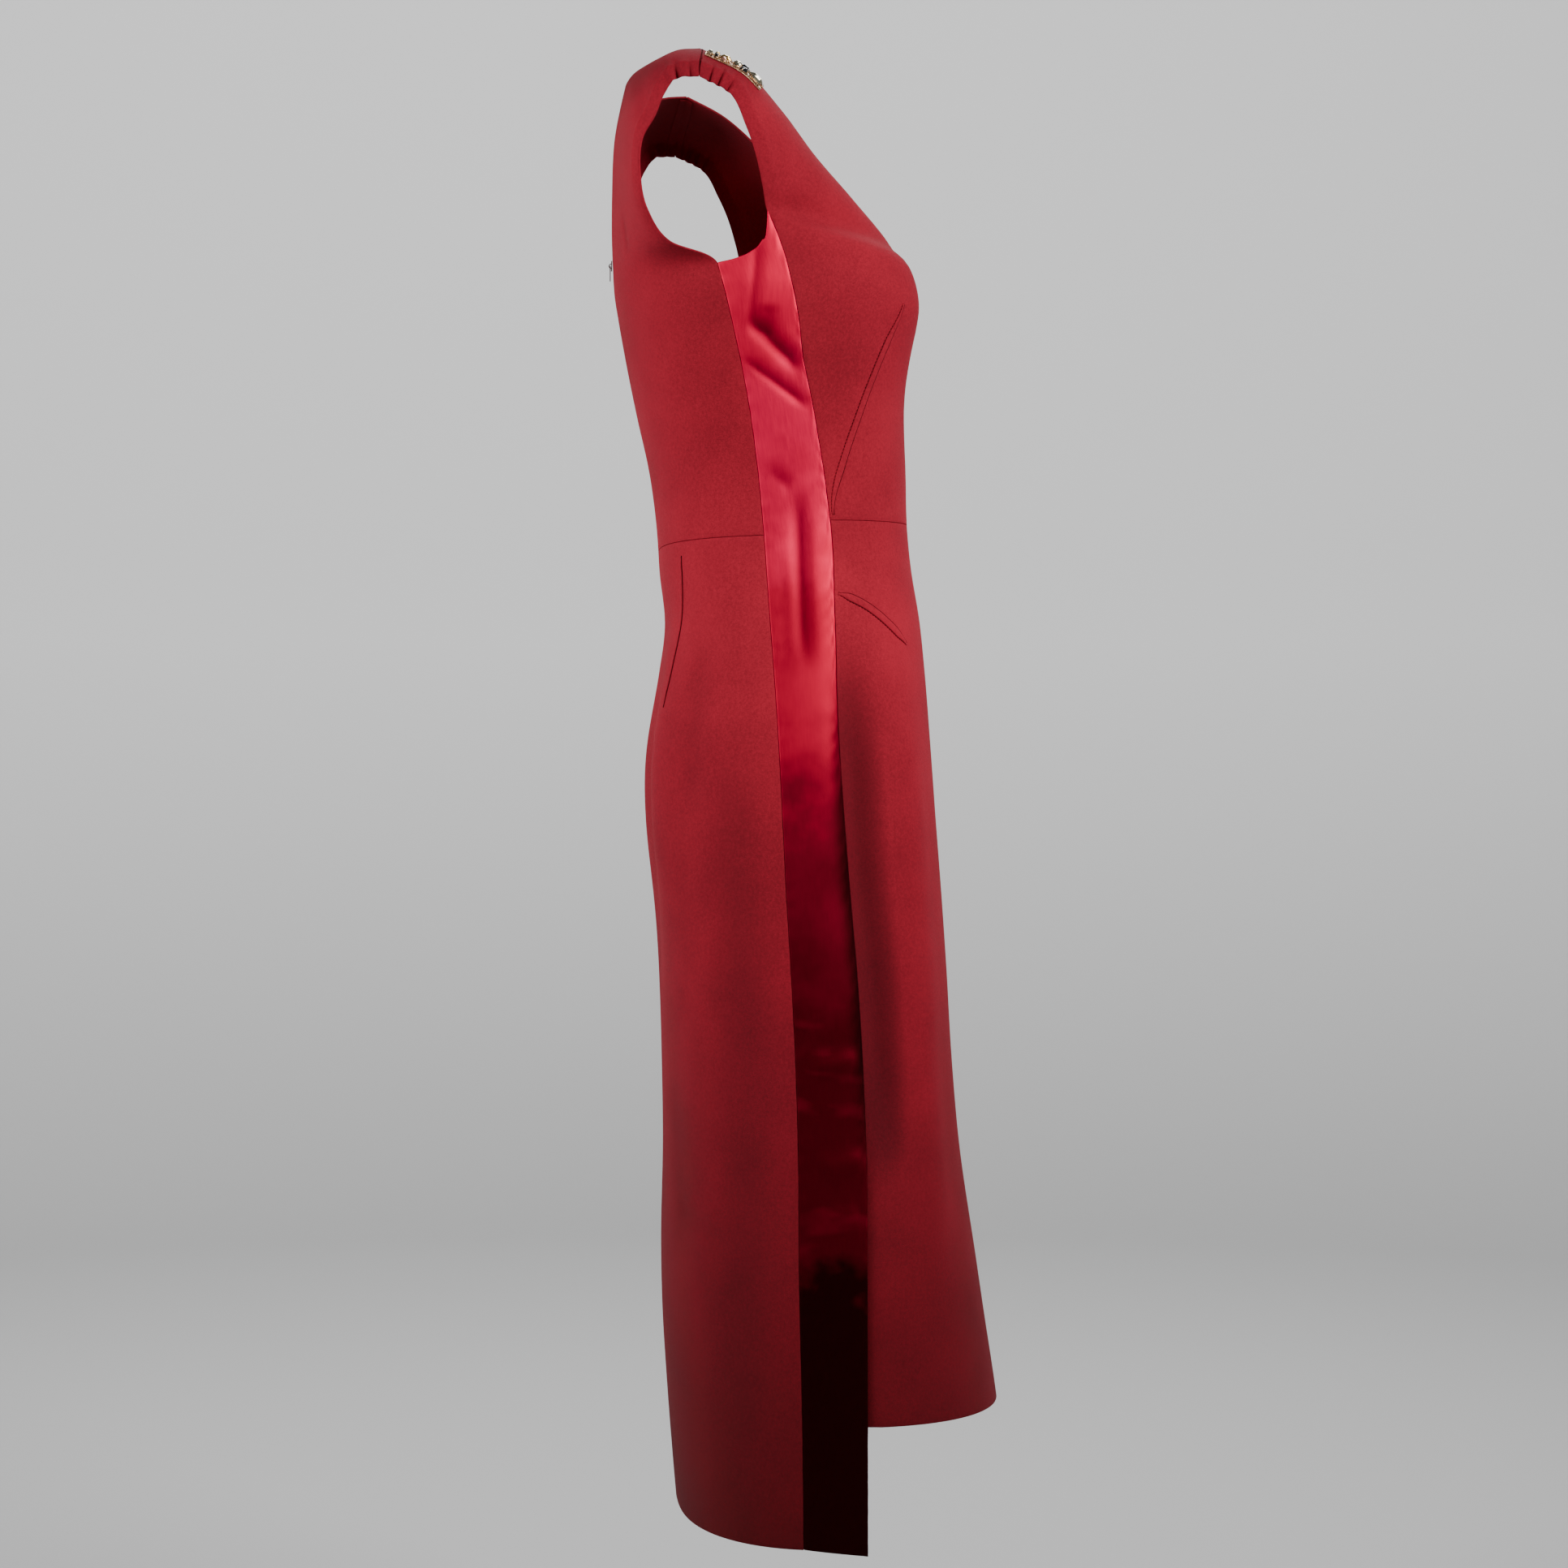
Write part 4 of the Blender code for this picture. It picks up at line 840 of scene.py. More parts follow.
# Front skirt. One crepe panel from the waist seam to the shorter front hem. Below the top of
# the slit its side edges hang free, tucked a little behind the satin.

FRONT_HEM_Z = -1.130
SLIT_TOP_Z = -0.830
SLIT_TUCK = 0.003
SLIT_TUCK_WIDTH = 0.014
SLIT_TUCK_FADE = 0.05
FRONT_SKIRT_ROWS = 181
SLIT_AXIS_Y = float(ring_half(np.array(-1.0), True)[1])


def skirt_half(side, rows, middle, outer, middle_angle, seam_table):
    """Body sections from the middle to the side seam, each between a waist and a hem height."""
    t = np.linspace(0.0, 1.0, rows)
    inner_z, outer_z = (waist - HALF_GAP + (hem - waist) * t for waist, hem in (middle, outer))
    towards_back = 1.0 if middle_angle else -1.0
    outer_angle = seam_angle(outer_z, seam_table) + towards_back * gap_angle(outer_z)
    across = np.linspace(0.0, 1.0, PANEL_COLUMNS)
    return folded(section_rows(inner_z, outer_z, middle_angle, outer_angle, across), FOLDS[side])


def front_skirt_half(side):
    """Half of the front skirt, with the slit edge eased inwards."""
    points = skirt_half(side, FRONT_SKIRT_ROWS, (WAIST_FRONT_Z, FRONT_HEM_Z),
                        (WAIST_SEAM_FRONT_Z, FRONT_HEM_Z), 0.0, FRONT_SEAM_TABLE)
    from_edge = np.linalg.norm(points - points[:, -1:], axis=2)
    tuck = SLIT_TUCK * smooth_step(1.0 - from_edge / SLIT_TUCK_WIDTH)
    tuck = tuck * smooth_step((SLIT_TOP_Z - points[..., 2]) / SLIT_TUCK_FADE)
    x, y, _ = np.moveaxis(points, -1, 0)
    inward = np.stack((-x, SLIT_AXIS_Y - y, np.zeros_like(tuck)), axis=-1)
    return points + unit(inward) * tuck[..., None]


front_skirts = {side: front_skirt_half(side) for side, _ in SIDES}
front_skirt_grids = [flipped(front_skirts[side], sign) for side, sign in SIDES]
sew_panel("front_skirt_cloth", ["front_skirt"], front_skirt_grids, CREPE)

# Back skirt. Two crepe panels from the waist seam to the longer back hem, joined at the
# middle back below the zip.

BACK_HEM_Z = -1.224
BACK_SKIRT_ROWS = 201


def back_skirt_half(side):
    """One back skirt panel, from the middle back to the side seam."""
    points = skirt_half(side, BACK_SKIRT_ROWS, (WAIST_BACK_Z, BACK_HEM_Z),
                        (WAIST_SEAM_BACK_Z, SIDE_HEM_BACK_Z), math.pi, BACK_SEAM_TABLE)
    points[:, 0, 0] = HALF_GAP
    return points


back_skirts = {side: back_skirt_half(side) for side, _ in SIDES}
for side, sign in SIDES:
    grid = flipped(back_skirts[side], sign)
    sew_panel(f"back_skirt_cloth_{side}", [f"back_skirt_{side}"], [grid], CREPE)

# Seam tapes and hems. The pressed seam allowance runs inside every seam, and the hems are
# turned up inside. They are strips of the same cloth, 0.6 mm thick.

TAPE_WALL = 0.0006
TAPE_DEPTH = 0.0015
TAPE_HALF_WIDTH = 0.0060
TAPE_ROWS = 200
TAPE_COLUMNS = 7
FRONT_TAPE_TOP_Z = -0.160
BACK_TAPE_TOP_Z = -0.190
HEM_HEIGHT = 0.030


def sew_inside(name, points, look):
    """Strip of cloth just inside the wall, made as a piece of its own."""
    strip = points - TAPE_DEPTH * outward_normals(points)
    sew_panel(name, [], [strip], look, TAPE_WALL, soft_edge=0.0)


def side_seam_strip(side, seam_table, top_z, bottom_z):
    """The body either side of a side seam, from its top to its bottom."""
    z = np.linspace(top_z, bottom_z, TAPE_ROWS)[:, None]
    half = TAPE_HALF_WIDTH / FOLD_RADIUS
    angle = seam_angle(z[:, 0], seam_table)[:, None] + np.linspace(-half, half, TAPE_COLUMNS)
    return folded(body_point(z, angle), FOLDS[side])


def hem_strip(points):
    """The part of a grid that is within the hem's height of its last row."""
    from_hem = path_lengths(points[::-1], 0).mean(axis=1)
    return points[-int(np.searchsorted(from_hem, HEM_HEIGHT)):]


middle_strip = {}
for side, sign in SIDES:
    front, _ = front_halves[side]
    back = back_halves[side]
    strips = {
        "front_seam_tape": side_seam_strip(side, FRONT_SEAM_TABLE, FRONT_TAPE_TOP_Z, SLIT_TOP_Z),
        "back_seam_tape": side_seam_strip(side, BACK_SEAM_TABLE, BACK_TAPE_TOP_Z, SIDE_HEM_BACK_Z),
        "shoulder_tape": np.concatenate((back[11:0:-1], front[1:11]))[:, 1:-1],
        "front_waist_tape": np.concatenate((front[-4:-1], front_skirts[side][1:3]))[:, :-1],
        "back_waist_tape": np.concatenate((back[-4:-1], back_skirts[side][1:3]))[:, :-1],
        "front_hem": hem_strip(front_skirts[side])[:, :-1],
        "back_hem": hem_strip(back_skirts[side])[:, :-1],
    }
    for label, strip in strips.items():
        sew_inside(f"{label}_{side}", flipped(strip, sign), CREPE)
    side_hem = flipped(hem_strip(side_grids[side])[:, 1:-1], sign)
    sew_inside(f"side_hem_{side}", side_hem, SATIN)
    columns = np.concatenate((back[NAPE_ROWS:-1, 1:4], back_skirts[side][1:, 1:4]))
    middle_strip[side] = flipped(columns, sign)
middle_back = np.concatenate((middle_strip["right"][:, ::-1], middle_strip["left"]), axis=1)
sew_inside("middle_back_tape", middle_back, CREPE)

# Darts. Each is a fold of the crepe pressed to one side and held down by a row of stitches,
# so it stands up a little between its seam and its topstitching.

DARTS = (
    # name, towards_front, path of x and z, start_width, end_width, stitched edge, cloth under it
    ("bust_dart", True,
     ((0.1237, -0.3865), (0.1234, -0.3500), (0.1222, -0.3150), (0.1196, -0.2800),
      (0.1158, -0.2450), (0.1067, -0.2090)),
     0.0060, 0.0054, 1, "front_bodice_cloth"),
    ("hip_dart", True,
     ((0.1351, -0.4525), (0.1334, -0.4556), (0.1307, -0.4602), (0.1264, -0.4673),
      (0.1207, -0.4755), (0.1136, -0.4840), (0.1051, -0.4926)),
     0.0060, 0.0076, -1, "front_skirt_cloth"),
    ("back_dart", False,
     ((0.0780, -0.4180), (0.0770, -0.4700), (0.0750, -0.5450)),
     0.0060, 0.0030, -1, "back_skirt_cloth_{side}"),
)
DART_END_SHARE = 0.3
DART_TAPER = 0.2
DART_ROWS = 90
DART_WALL = 0.0005
DART_BASE = WALL / 2 + DART_WALL / 2
DART_CROWN = 0.0006
DART_CROWN_FADE = 12
WELT_OFFSETS = np.linspace(-1.0, 1.0, 11)
EDGE_OFFSETS = np.array((-1.2, -1.1, -1.0, 1.0, 1.1, 1.2))
STITCH_PITCH = 0.0029
STITCH_LENGTH = 0.0020
STITCH_WIDTH = 0.00080
STITCH_HEIGHT = 0.00036
STITCH_SIDES = 6
STITCH_RING_AT = np.array((-0.36, 0.0, 0.36))
STITCH_RING_SIZE = np.array((0.75, 1.0, 0.75))
# Thin dark tube along each dart's seam: painted shadow of the seam's groove.
SEAM_SHADOW_RADIUS = 0.00045
SEAM_SHADOW_LIFT = WALL / 2 + 0.00015


def angle_at_x(z, x, towards_front):
    """Angle round the body where its front or back half at height z is x wide."""
    half_width, _, depth, power = ring_half(z, towards_front)
    out = depth * (1.0 - (np.abs(x) / half_width) ** power) ** (1.0 / power)
    return np.arctan2(x, out if towards_front else -out)


def dart_surface(side, path, start_width, end_width, towards_front, offsets):
    """Body points beside a dart's line, one column for each offset in half widths."""
    path = np.array(path)
    t = np.linspace(0.0, 1.0, DART_ROWS)
    x, z = smooth_table(t, np.linspace(0.0, 1.0, len(path)), path).T
    arc = angle_at_x(z, x, towards_front) * FOLD_RADIUS
    run = unit(np.gradient(np.stack((arc, z), axis=1), axis=0))
    drawn_in = smooth_step(np.minimum(t, 1.0 - t) / DART_TAPER)
    share = DART_END_SHARE + (1.0 - DART_END_SHARE) * drawn_in
    half = (start_width + (end_width - start_width) * t) * share / 2
    arcs = arc[:, None] + run[:, 1:] * half[:, None] * offsets
    heights = z[:, None] - run[:, :1] * half[:, None] * offsets
    return folded(body_point(heights, arcs / FOLD_RADIUS), FOLDS[side])


def dart_welt(surface):
    """Pressed fold over the cloth: base + crown * sqrt(1 - offset^2), low at both ends."""
    t = np.linspace(0.0, 1.0, DART_ROWS)
    ends = smooth_step(np.minimum(t, t[::-1]) * DART_CROWN_FADE)
    lift = DART_BASE + DART_CROWN * ends[:, None] * np.sqrt(np.maximum(1.0 - WELT_OFFSETS**2, 0.0))
    return surface + outward_normals(surface) * lift[..., None]


def capsules(places, along, across, out):
    """Short flattened capsules, one at each place: three rings and two tips."""
    turn = np.arange(STITCH_SIDES) * 2 * math.pi / STITCH_SIDES
    count = len(places)
    middle = places[:, None] + along[:, None] * (STITCH_RING_AT * STITCH_LENGTH)[None, :, None]
    sideways = np.cos(turn)[:, None] * across[:, None] * STITCH_WIDTH / 2
    upwards = np.sin(turn)[:, None] * out[:, None] * STITCH_HEIGHT / 2
    spread = STITCH_RING_SIZE[None, :, None, None] * (sideways + upwards)[:, None]
    rings = middle[:, :, None] + spread
    tips = places[:, None] + along[:, None] * np.array((-0.5, 0.5))[None, :, None] * STITCH_LENGTH
    points = np.concatenate((rings.reshape(count, -1, 3), tips), axis=1)
    per_stitch = points.shape[1]
    faces = []
    for k in range(STITCH_SIDES):
        after = (k + 1) % STITCH_SIDES
        for ring in range(2):
            low = ring * STITCH_SIDES
            high = low + STITCH_SIDES
            faces.append((low + k, low + after, high + after, high + k))
        last = 2 * STITCH_SIDES
        faces.append((per_stitch - 2, after, k))
        faces.append((per_stitch - 1, last + k, last + after))
    shape = bmesh.new()
    verts = [shape.verts.new(point) for point in points.reshape(-1, 3)]
    for first in range(0, count * per_stitch, per_stitch):
        for face in faces:
            shape.faces.new([verts[first + k] for k in face]).smooth = True
    return shape


def make_plain(name, colour, roughness, metallic=0.0):
    """Material of one even finish."""
    look, _, shader = new_look(name)
    set_values(shader, Base_Color=(*colour, 1.0), Roughness=roughness, Metallic=metallic)
    return look


# Dark thread for the topstitching, also used for the painted shadow line along each dart's seam.
THREAD_AND_SEAM_SHADOW = make_plain("thread", (0.030, 0.0010, 0.0022), 0.85)
set_values(THREAD_AND_SEAM_SHADOW.node_tree.nodes["Principled BSDF"], Specular_IOR_Level=0.05)


def add_tube(shape, middles, radii, directions, sides=6, closed=False):
    """Tube through middles, each ring spanned by two directions, with flat ends or closed."""
    rings = []
    turn = [k * 2 * math.pi / sides for k in range(sides)]
    for middle, radius, (first, second) in zip(middles, radii, directions):
        rings.append([shape.verts.new(
            middle + radius * (first * math.cos(a) + second * math.sin(a))) for a in turn])
    for low, high in zip(rings, rings[1:] + ([rings[0]] if closed else [])):
        for k in range(sides):
            shape.faces.new((low[k], low[(k + 1) % sides], high[(k + 1) % sides], high[k]))
    if not closed:
        shape.faces.new(rings[0][::-1])
        shape.faces.new(rings[-1])


def finished(name, shape, look, nodes=()):
    """One mesh object from a shape and the solids it stands for."""
    bmesh.ops.recalc_face_normals(shape, faces=shape.faces)
    mesh = bpy.data.meshes.new(name)
    shape.to_mesh(mesh)
    shape.free()
    mesh.materials.append(look)
    piece = placed(name, mesh)
    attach(piece, "dress")
    if nodes:
        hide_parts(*nodes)
    return piece


def stitch_frames(line, normals):
    """Places along a line at the stitch pitch, with the line's direction and the normal there."""
    travelled = path_lengths(line, 0)
    at = np.arange(STITCH_PITCH, travelled[-1] - STITCH_PITCH / 2, STITCH_PITCH)
    places, ahead, out = (
        np.stack([np.interp(at + step, travelled, column) for column in values.T], axis=1)
        for values, step in ((line, 0.0), (line, STITCH_LENGTH / 2), (normals, 0.0)))
    along = unit(ahead - places)
    out = unit(out - along * (along * out).sum(axis=1, keepdims=True))
    return places, along, np.cross(out, along), out


for side, sign in SIDES:
    for name, towards_front, path, start_width, end_width, stitched, under in DARTS:
        line = (side, path, start_width, end_width, towards_front)
        surface = flipped(dart_surface(*line, WELT_OFFSETS), sign)
        welt = cloth_mesh(f"{name}_welt_{side}", [dart_welt(surface)], CREPE, DART_WALL, 0.0)
        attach(welt, "dress")
        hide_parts(f"{name}_{side}")
        beside = flipped(dart_surface(*line, EDGE_OFFSETS * stitched), sign)
        normals = outward_normals(beside)
        stitch_line = beside[:, 4] + normals[:, 4] * (WALL / 2 + STITCH_HEIGHT / 4)
        stitches = capsules(*stitch_frames(stitch_line, normals[:, 4]))
        thread = finished(f"{name}_stitches_{side}", stitches, THREAD_AND_SEAM_SHADOW)
        # Painted shadow: a thin dark tube along the seam's groove, in the thread's colour.
        seam_shadow_line = beside[:, 1] + normals[:, 1] * SEAM_SHADOW_LIFT
        sideways = unit(np.cross(np.gradient(seam_shadow_line, axis=0), normals[:, 1]))
        spans = zip(sideways, normals[:, 1])
        seam = bmesh.new()
        add_tube(seam, seam_shadow_line, [SEAM_SHADOW_RADIUS] * DART_ROWS, spans)
        seam = finished(f"{name}_seam_{side}", seam, THREAD_AND_SEAM_SHADOW)
        width, length, area = panel_cut([surface])

# Jewelled ornament on each strap. A thin leaf-shaped plate of pale rose gold is sewn on the
# strap. It carries nine cut stones in claws, a row of small gold stones along its neck
# side and a row of metal beads along its other edge.

SETTING_THICKNESS = 0.0008
SETTING_ROUNDING = 0.0002
SETTING_LIFT = WALL / 2 + 0.0002 + SETTING_THICKNESS / 2
SETTING_START = 0.0025
SETTING_END = 0.0540
SETTING_MIDDLE = 0.0558
SETTING_WIDTH = 0.0180
SETTING_END_SHARE = 0.45
SETTING_ARC = (0.12, 0.92)
SETTING_FULLNESS = 0.7
STONE_BASE = WALL / 2 + 0.0014
STONES = (
    # name, cut, down the strap, in from the neckline, length, width, height, turn, look
    ("stone_drop", "navette", 0.0456, 0.0559, 0.0155, 0.0080, 0.0046, 0.0, "clear_stone"),
    ("stone_leaf_upper", "navette", 0.0346, 0.0506, 0.0095, 0.0044, 0.0036, 35.0, "black_stone"),
    ("stone_leaf_lower", "navette", 0.0344, 0.0614, 0.0090, 0.0042, 0.0036, -35.0, "black_stone"),
    ("stone_heart", "round", 0.0282, 0.0556, 0.0080, 0.0072, 0.0042, 0.0, "clear_stone"),
    ("stone_oval", "navette", 0.0186, 0.0540, 0.0100, 0.0056, 0.0040, 12.0, "gold_stone"),
    ("stone_rose", "round", 0.0176, 0.0606, 0.0048, 0.0048, 0.0032, 0.0, "rose_stone"),
    ("stone_gold_upper", "round", 0.0116, 0.0510, 0.0050, 0.0050, 0.0038, 0.0, "gold_stone"),
    ("stone_black_round", "round", 0.0114, 0.0576, 0.0044, 0.0044, 0.0034, 0.0, "black_stone"),
    ("stone_fan", "navette", 0.0060, 0.0550, 0.0090, 0.0046, 0.0036, 84.0, "clear_stone"),
)
STONE_SIDES = {"navette": 14, "round": 12}
NAVETTE_POINT = 0.35
STONE_RINGS = (
    # share of the outline, share of the height, turned by half a step
    (0.80, 0.0, 0.0), (1.0, 0.30, 0.0), (1.0, 0.38, 0.0), (0.78, 0.74, 0.5), (0.50, 1.0, 0.0),
)
CLAW_RINGS = (
    # share of the outline, share of the height, radius
    (1.10, -0.10, 0.00042), (1.12, 0.30, 0.00036), (1.02, 0.52, 0.00032), (0.90, 0.66, 0.00018),
)
CLAW_ANGLES = {
    "navette": (0.0, 52.0, 128.0, 180.0, 232.0, 308.0),
    "round": (45.0, 135.0, 225.0, 315.0),
}
BEZEL_RADIUS = 0.00032
BEZEL_SIDES = 28
BEZEL_SIZE = 1.05
BEZEL_HEIGHT = 0.16
SMALL_STONE = 0.0021
SMALL_PITCH = 0.0026
BEAD_PITCH = 0.0016
SMALL_HEIGHT = 0.6
SMALL_SUNK = 0.0003
COLLAR_LIFTS = (-0.0004, 0.0002)
COLLAR_SHARE = 0.56
COLLAR_SIDES = 10
BEAD_SHARE = 0.46
BEAD_SUNK = 0.0002
PLATE_ROWS = 40
PLATE_COLUMNS = 13
PATCH_STEP = 0.001
PATCH_START = 0.040
PATCH_END = 0.072
PATCH_LENGTH = 0.060


def strap_patch(side):
    """Strap points at every millimetre down from the shoulder and in from the neckline."""
    points, stations = front_halves[side]
    rows = smooth_table(np.arange(0.0, PATCH_LENGTH, PATCH_STEP), stations, points)
    inward = np.arange(PATCH_START, PATCH_END, PATCH_STEP)
    return np.array([[np.interp(inward, path_lengths(row, 0), column) for column in row.T]
                     for row in rows]).transpose(0, 2, 1)


def patch_reading(grid, down, inward):
    """Value between the four nearest points of a patch."""
    row, row_share = divmod(down / PATCH_STEP, 1.0)
    column, column_share = divmod((inward - PATCH_START) / PATCH_STEP, 1.0)
    corner = grid[int(row):int(row) + 2, int(column):int(column) + 2]
    nearer = corner[0] * (1.0 - row_share) + corner[1] * row_share
    return nearer[0] * (1.0 - column_share) + nearer[1] * column_share


def strap_frame(patch, normals, down, inward, turn):
    """Place on the strap, the stone's long and short directions, and outwards."""
    place = patch_reading(patch, down, inward)
    out = unit(patch_reading(normals, down, inward))
    along = patch_reading(patch, down + PATCH_STEP, inward) - place
    along = unit(along - out * (along @ out))
    across = patch_reading(patch, down, inward + PATCH_STEP) - place
    across = unit(across - out * (across @ out) - along * (across @ along))
    turn = math.radians(turn)
    long_way = along * math.cos(turn) + across * math.sin(turn)
    return place, long_way, across * math.cos(turn) - along * math.sin(turn), out


def outline_point(frame, cut, angle, length, width, lift):
    """Girdle of a stone at an angle: an ellipse, drawn to a point each end for a navette."""
    place, long_way, short_way, out = frame
    x = math.cos(angle) * length / 2
    y = math.sin(angle) * width / 2
    if cut == "navette":
        y = y * (1.0 - NAVETTE_POINT * math.cos(angle) ** 4)
    return place + long_way * x + short_way * y + out * lift


def add_stone(shape, frame, cut, length, width, height, base=STONE_BASE):
    """Cut stone: flat back, thin girdle, a crown of triangles and a flat table."""
    sides = STONE_SIDES[cut]
    rings = [[shape.verts.new(outline_point(frame, cut, (k + half_step) * 2 * math.pi / sides,
                                            length * size, width * size, base + height * share))
              for k in range(sides)] for size, share, half_step in STONE_RINGS]
    for low, high in zip(rings, rings[1:]):
        for k in range(sides):
            after = (k + 1) % sides
            shape.faces.new((low[k], low[after], high[k]))
            shape.faces.new((low[after], high[after], high[k]))
    shape.faces.new(rings[-1])
    shape.faces.new(rings[0][::-1])


def add_claws(shape, frame, cut, length, width, height):
    """Bezel wire round the girdle of a stone, and bent claws over its crown."""
    place, _, _, out = frame
    girdle = [outline_point(frame, cut, k * 2 * math.pi / BEZEL_SIDES, length * BEZEL_SIZE,
                            width * BEZEL_SIZE, 0.0) for k in range(BEZEL_SIDES)]
    middles = [point + out * (STONE_BASE + height * BEZEL_HEIGHT) for point in girdle]
    directions = [(unit(point - place), out) for point in girdle]
    add_tube(shape, middles, [BEZEL_RADIUS] * BEZEL_SIDES, directions, closed=True)
    for angle in CLAW_ANGLES[cut]:
        middles = [outline_point(frame, cut, math.radians(angle), length * size, width * size,
                                 STONE_BASE + height * share) for size, share, _ in CLAW_RINGS]
        away = middles[0] - place
        away = unit(away - out * (away @ out))
        add_tube(shape, middles, [radius for _, _, radius in CLAW_RINGS],
                 [(away, np.cross(out, away))] * len(middles))


def setting_half_width(down):
    """Half the plate's width, from how far down the strap it is."""
    t = (down - SETTING_START) / (SETTING_END - SETTING_START)
    arc = SETTING_ARC[0] + (SETTING_ARC[1] - SETTING_ARC[0]) * t
    swell = math.sin(math.pi * arc) ** SETTING_FULLNESS
    return SETTING_WIDTH * (SETTING_END_SHARE + (1.0 - SETTING_END_SHARE) * swell) / 2


GEM_LOOKS = {
    "clear_stone": make_plain("clear_stone", (0.46, 0.43, 0.31), 0.06, 0.95),
    "black_stone": make_plain("black_stone", (0.004, 0.004, 0.005), 0.12, 0.0),
    "gold_stone": make_plain("gold_stone", (0.62, 0.38, 0.10), 0.10, 0.95),
    "rose_stone": make_plain("rose_stone", (0.62, 0.30, 0.22), 0.10, 0.80),
}
SETTING_METAL = make_plain("setting_metal", (0.52, 0.33, 0.20), 0.30, 1.0)

for side, sign in SIDES:
    patch = flipped(strap_patch(side), sign)
    patch_normals = outward_normals(patch)
    gems = {look: bmesh.new() for look in GEM_LOOKS}
    claws = bmesh.new()
    for name, cut, down, inward, length, width, height, turn, look in STONES:
        frame_here = strap_frame(patch, patch_normals, down, inward, turn)
        add_stone(gems[look], frame_here, cut, length, width, height)
        add_claws(claws, frame_here, cut, length, width, height)
    for down in np.arange(SETTING_START + SMALL_PITCH / 2, SETTING_END, SMALL_PITCH):
        edge = SETTING_MIDDLE - setting_half_width(down) + SMALL_STONE / 2
        small = strap_frame(patch, patch_normals, down, edge, 0.0)
        place, along, across, out = small
        add_stone(gems["gold_stone"], small, "round", SMALL_STONE, SMALL_STONE,
                  SMALL_STONE * SMALL_HEIGHT, STONE_BASE - SMALL_SUNK)
        collar = [place + out * (STONE_BASE + lift) for lift in COLLAR_LIFTS]
        add_tube(claws, collar, [SMALL_STONE * COLLAR_SHARE] * 2, [(along, across)] * 2,
                 COLLAR_SIDES)
    for down in np.arange(SETTING_START + BEAD_PITCH / 2, SETTING_END, BEAD_PITCH):
        edge = SETTING_MIDDLE + setting_half_width(down) - BEAD_PITCH / 2
        place, _, _, out = strap_frame(patch, patch_normals, down, edge, 0.0)
        beads = bmesh.ops.create_icosphere(claws, subdivisions=1, radius=BEAD_PITCH * BEAD_SHARE)
        middle = place + out * (STONE_BASE - BEAD_SUNK)
        bmesh.ops.translate(claws, verts=beads["verts"], vec=middle)
    finished(f"claws_{side}", claws, SETTING_METAL)
    for look, shape in gems.items():
        names = [f"{row[0]}_{side}" for row in STONES if row[-1] == look]
        finished(f"{look}s_{side}", shape, GEM_LOOKS[look], names)
    plate = []
    for down in np.linspace(SETTING_START, SETTING_END, PLATE_ROWS):
        half = setting_half_width(down)
        row = [strap_frame(patch, patch_normals, down, SETTING_MIDDLE + share * half, 0.0)
               for share in np.linspace(-1.0, 1.0, PLATE_COLUMNS)]
        plate.append([place + out * SETTING_LIFT for place, _, _, out in row])
    plate_piece = cloth_mesh(f"setting_plate_{side}", [np.array(plate)], SETTING_METAL,
                             SETTING_THICKNESS, SETTING_ROUNDING)
    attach(plate_piece, "dress")
    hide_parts(f"jewel_setting_{side}")

# Zip. Closed behind the middle back seam, with only its small enamelled slider and pull tab
# outside. The pull hangs from the slider's bridge and swings.

SLIDER_TOP_Z = -0.1600
SLIDER_LENGTH = 0.0090
SLIDER_WIDTH = 0.0052
SLIDER_BASE = 0.0008
SLIDER_GAP = 0.0004
BRIDGE_HEIGHT = 0.0016
BRIDGE_HALF_LENGTH = 0.0019
BRIDGE_WIRE = 0.00042
BRIDGE_CLEARANCE = 0.0002
BRIDGE_STEPS = 12
SLIDER_CORNER = 0.0016
PULL_THICKNESS = 0.0008
PULL_HALF_WIDTH = 0.0024
PULL_LENGTH = 0.0135
PULL_BAR = 0.0008
PULL_CORNER = 0.0014
PULL_EYE_LENGTH = 0.0034
PULL_EYE_HALF_WIDTH = 0.0012
PULL_EYE_CORNER = 0.0008
PLATE_EDGE = 0.00015
CORNER_STEPS = 5


def rounded_outline(half_width, top, bottom, radius):
    """Outline with quarter-circle corners, anticlockwise from the top right."""
    outline = []
    corners = ((1, 1, top), (-1, 1, top), (-1, -1, bottom), (1, -1, bottom))
    for quarter, (side_x, side_y, level) in enumerate(corners):
        for k in range(CORNER_STEPS + 1):
            angle = math.pi / 2 * (quarter + k / CORNER_STEPS)
            outline.append((side_x * (half_width - radius) + radius * math.cos(angle),
                            level - side_y * radius + radius * math.sin(angle)))
    return outline


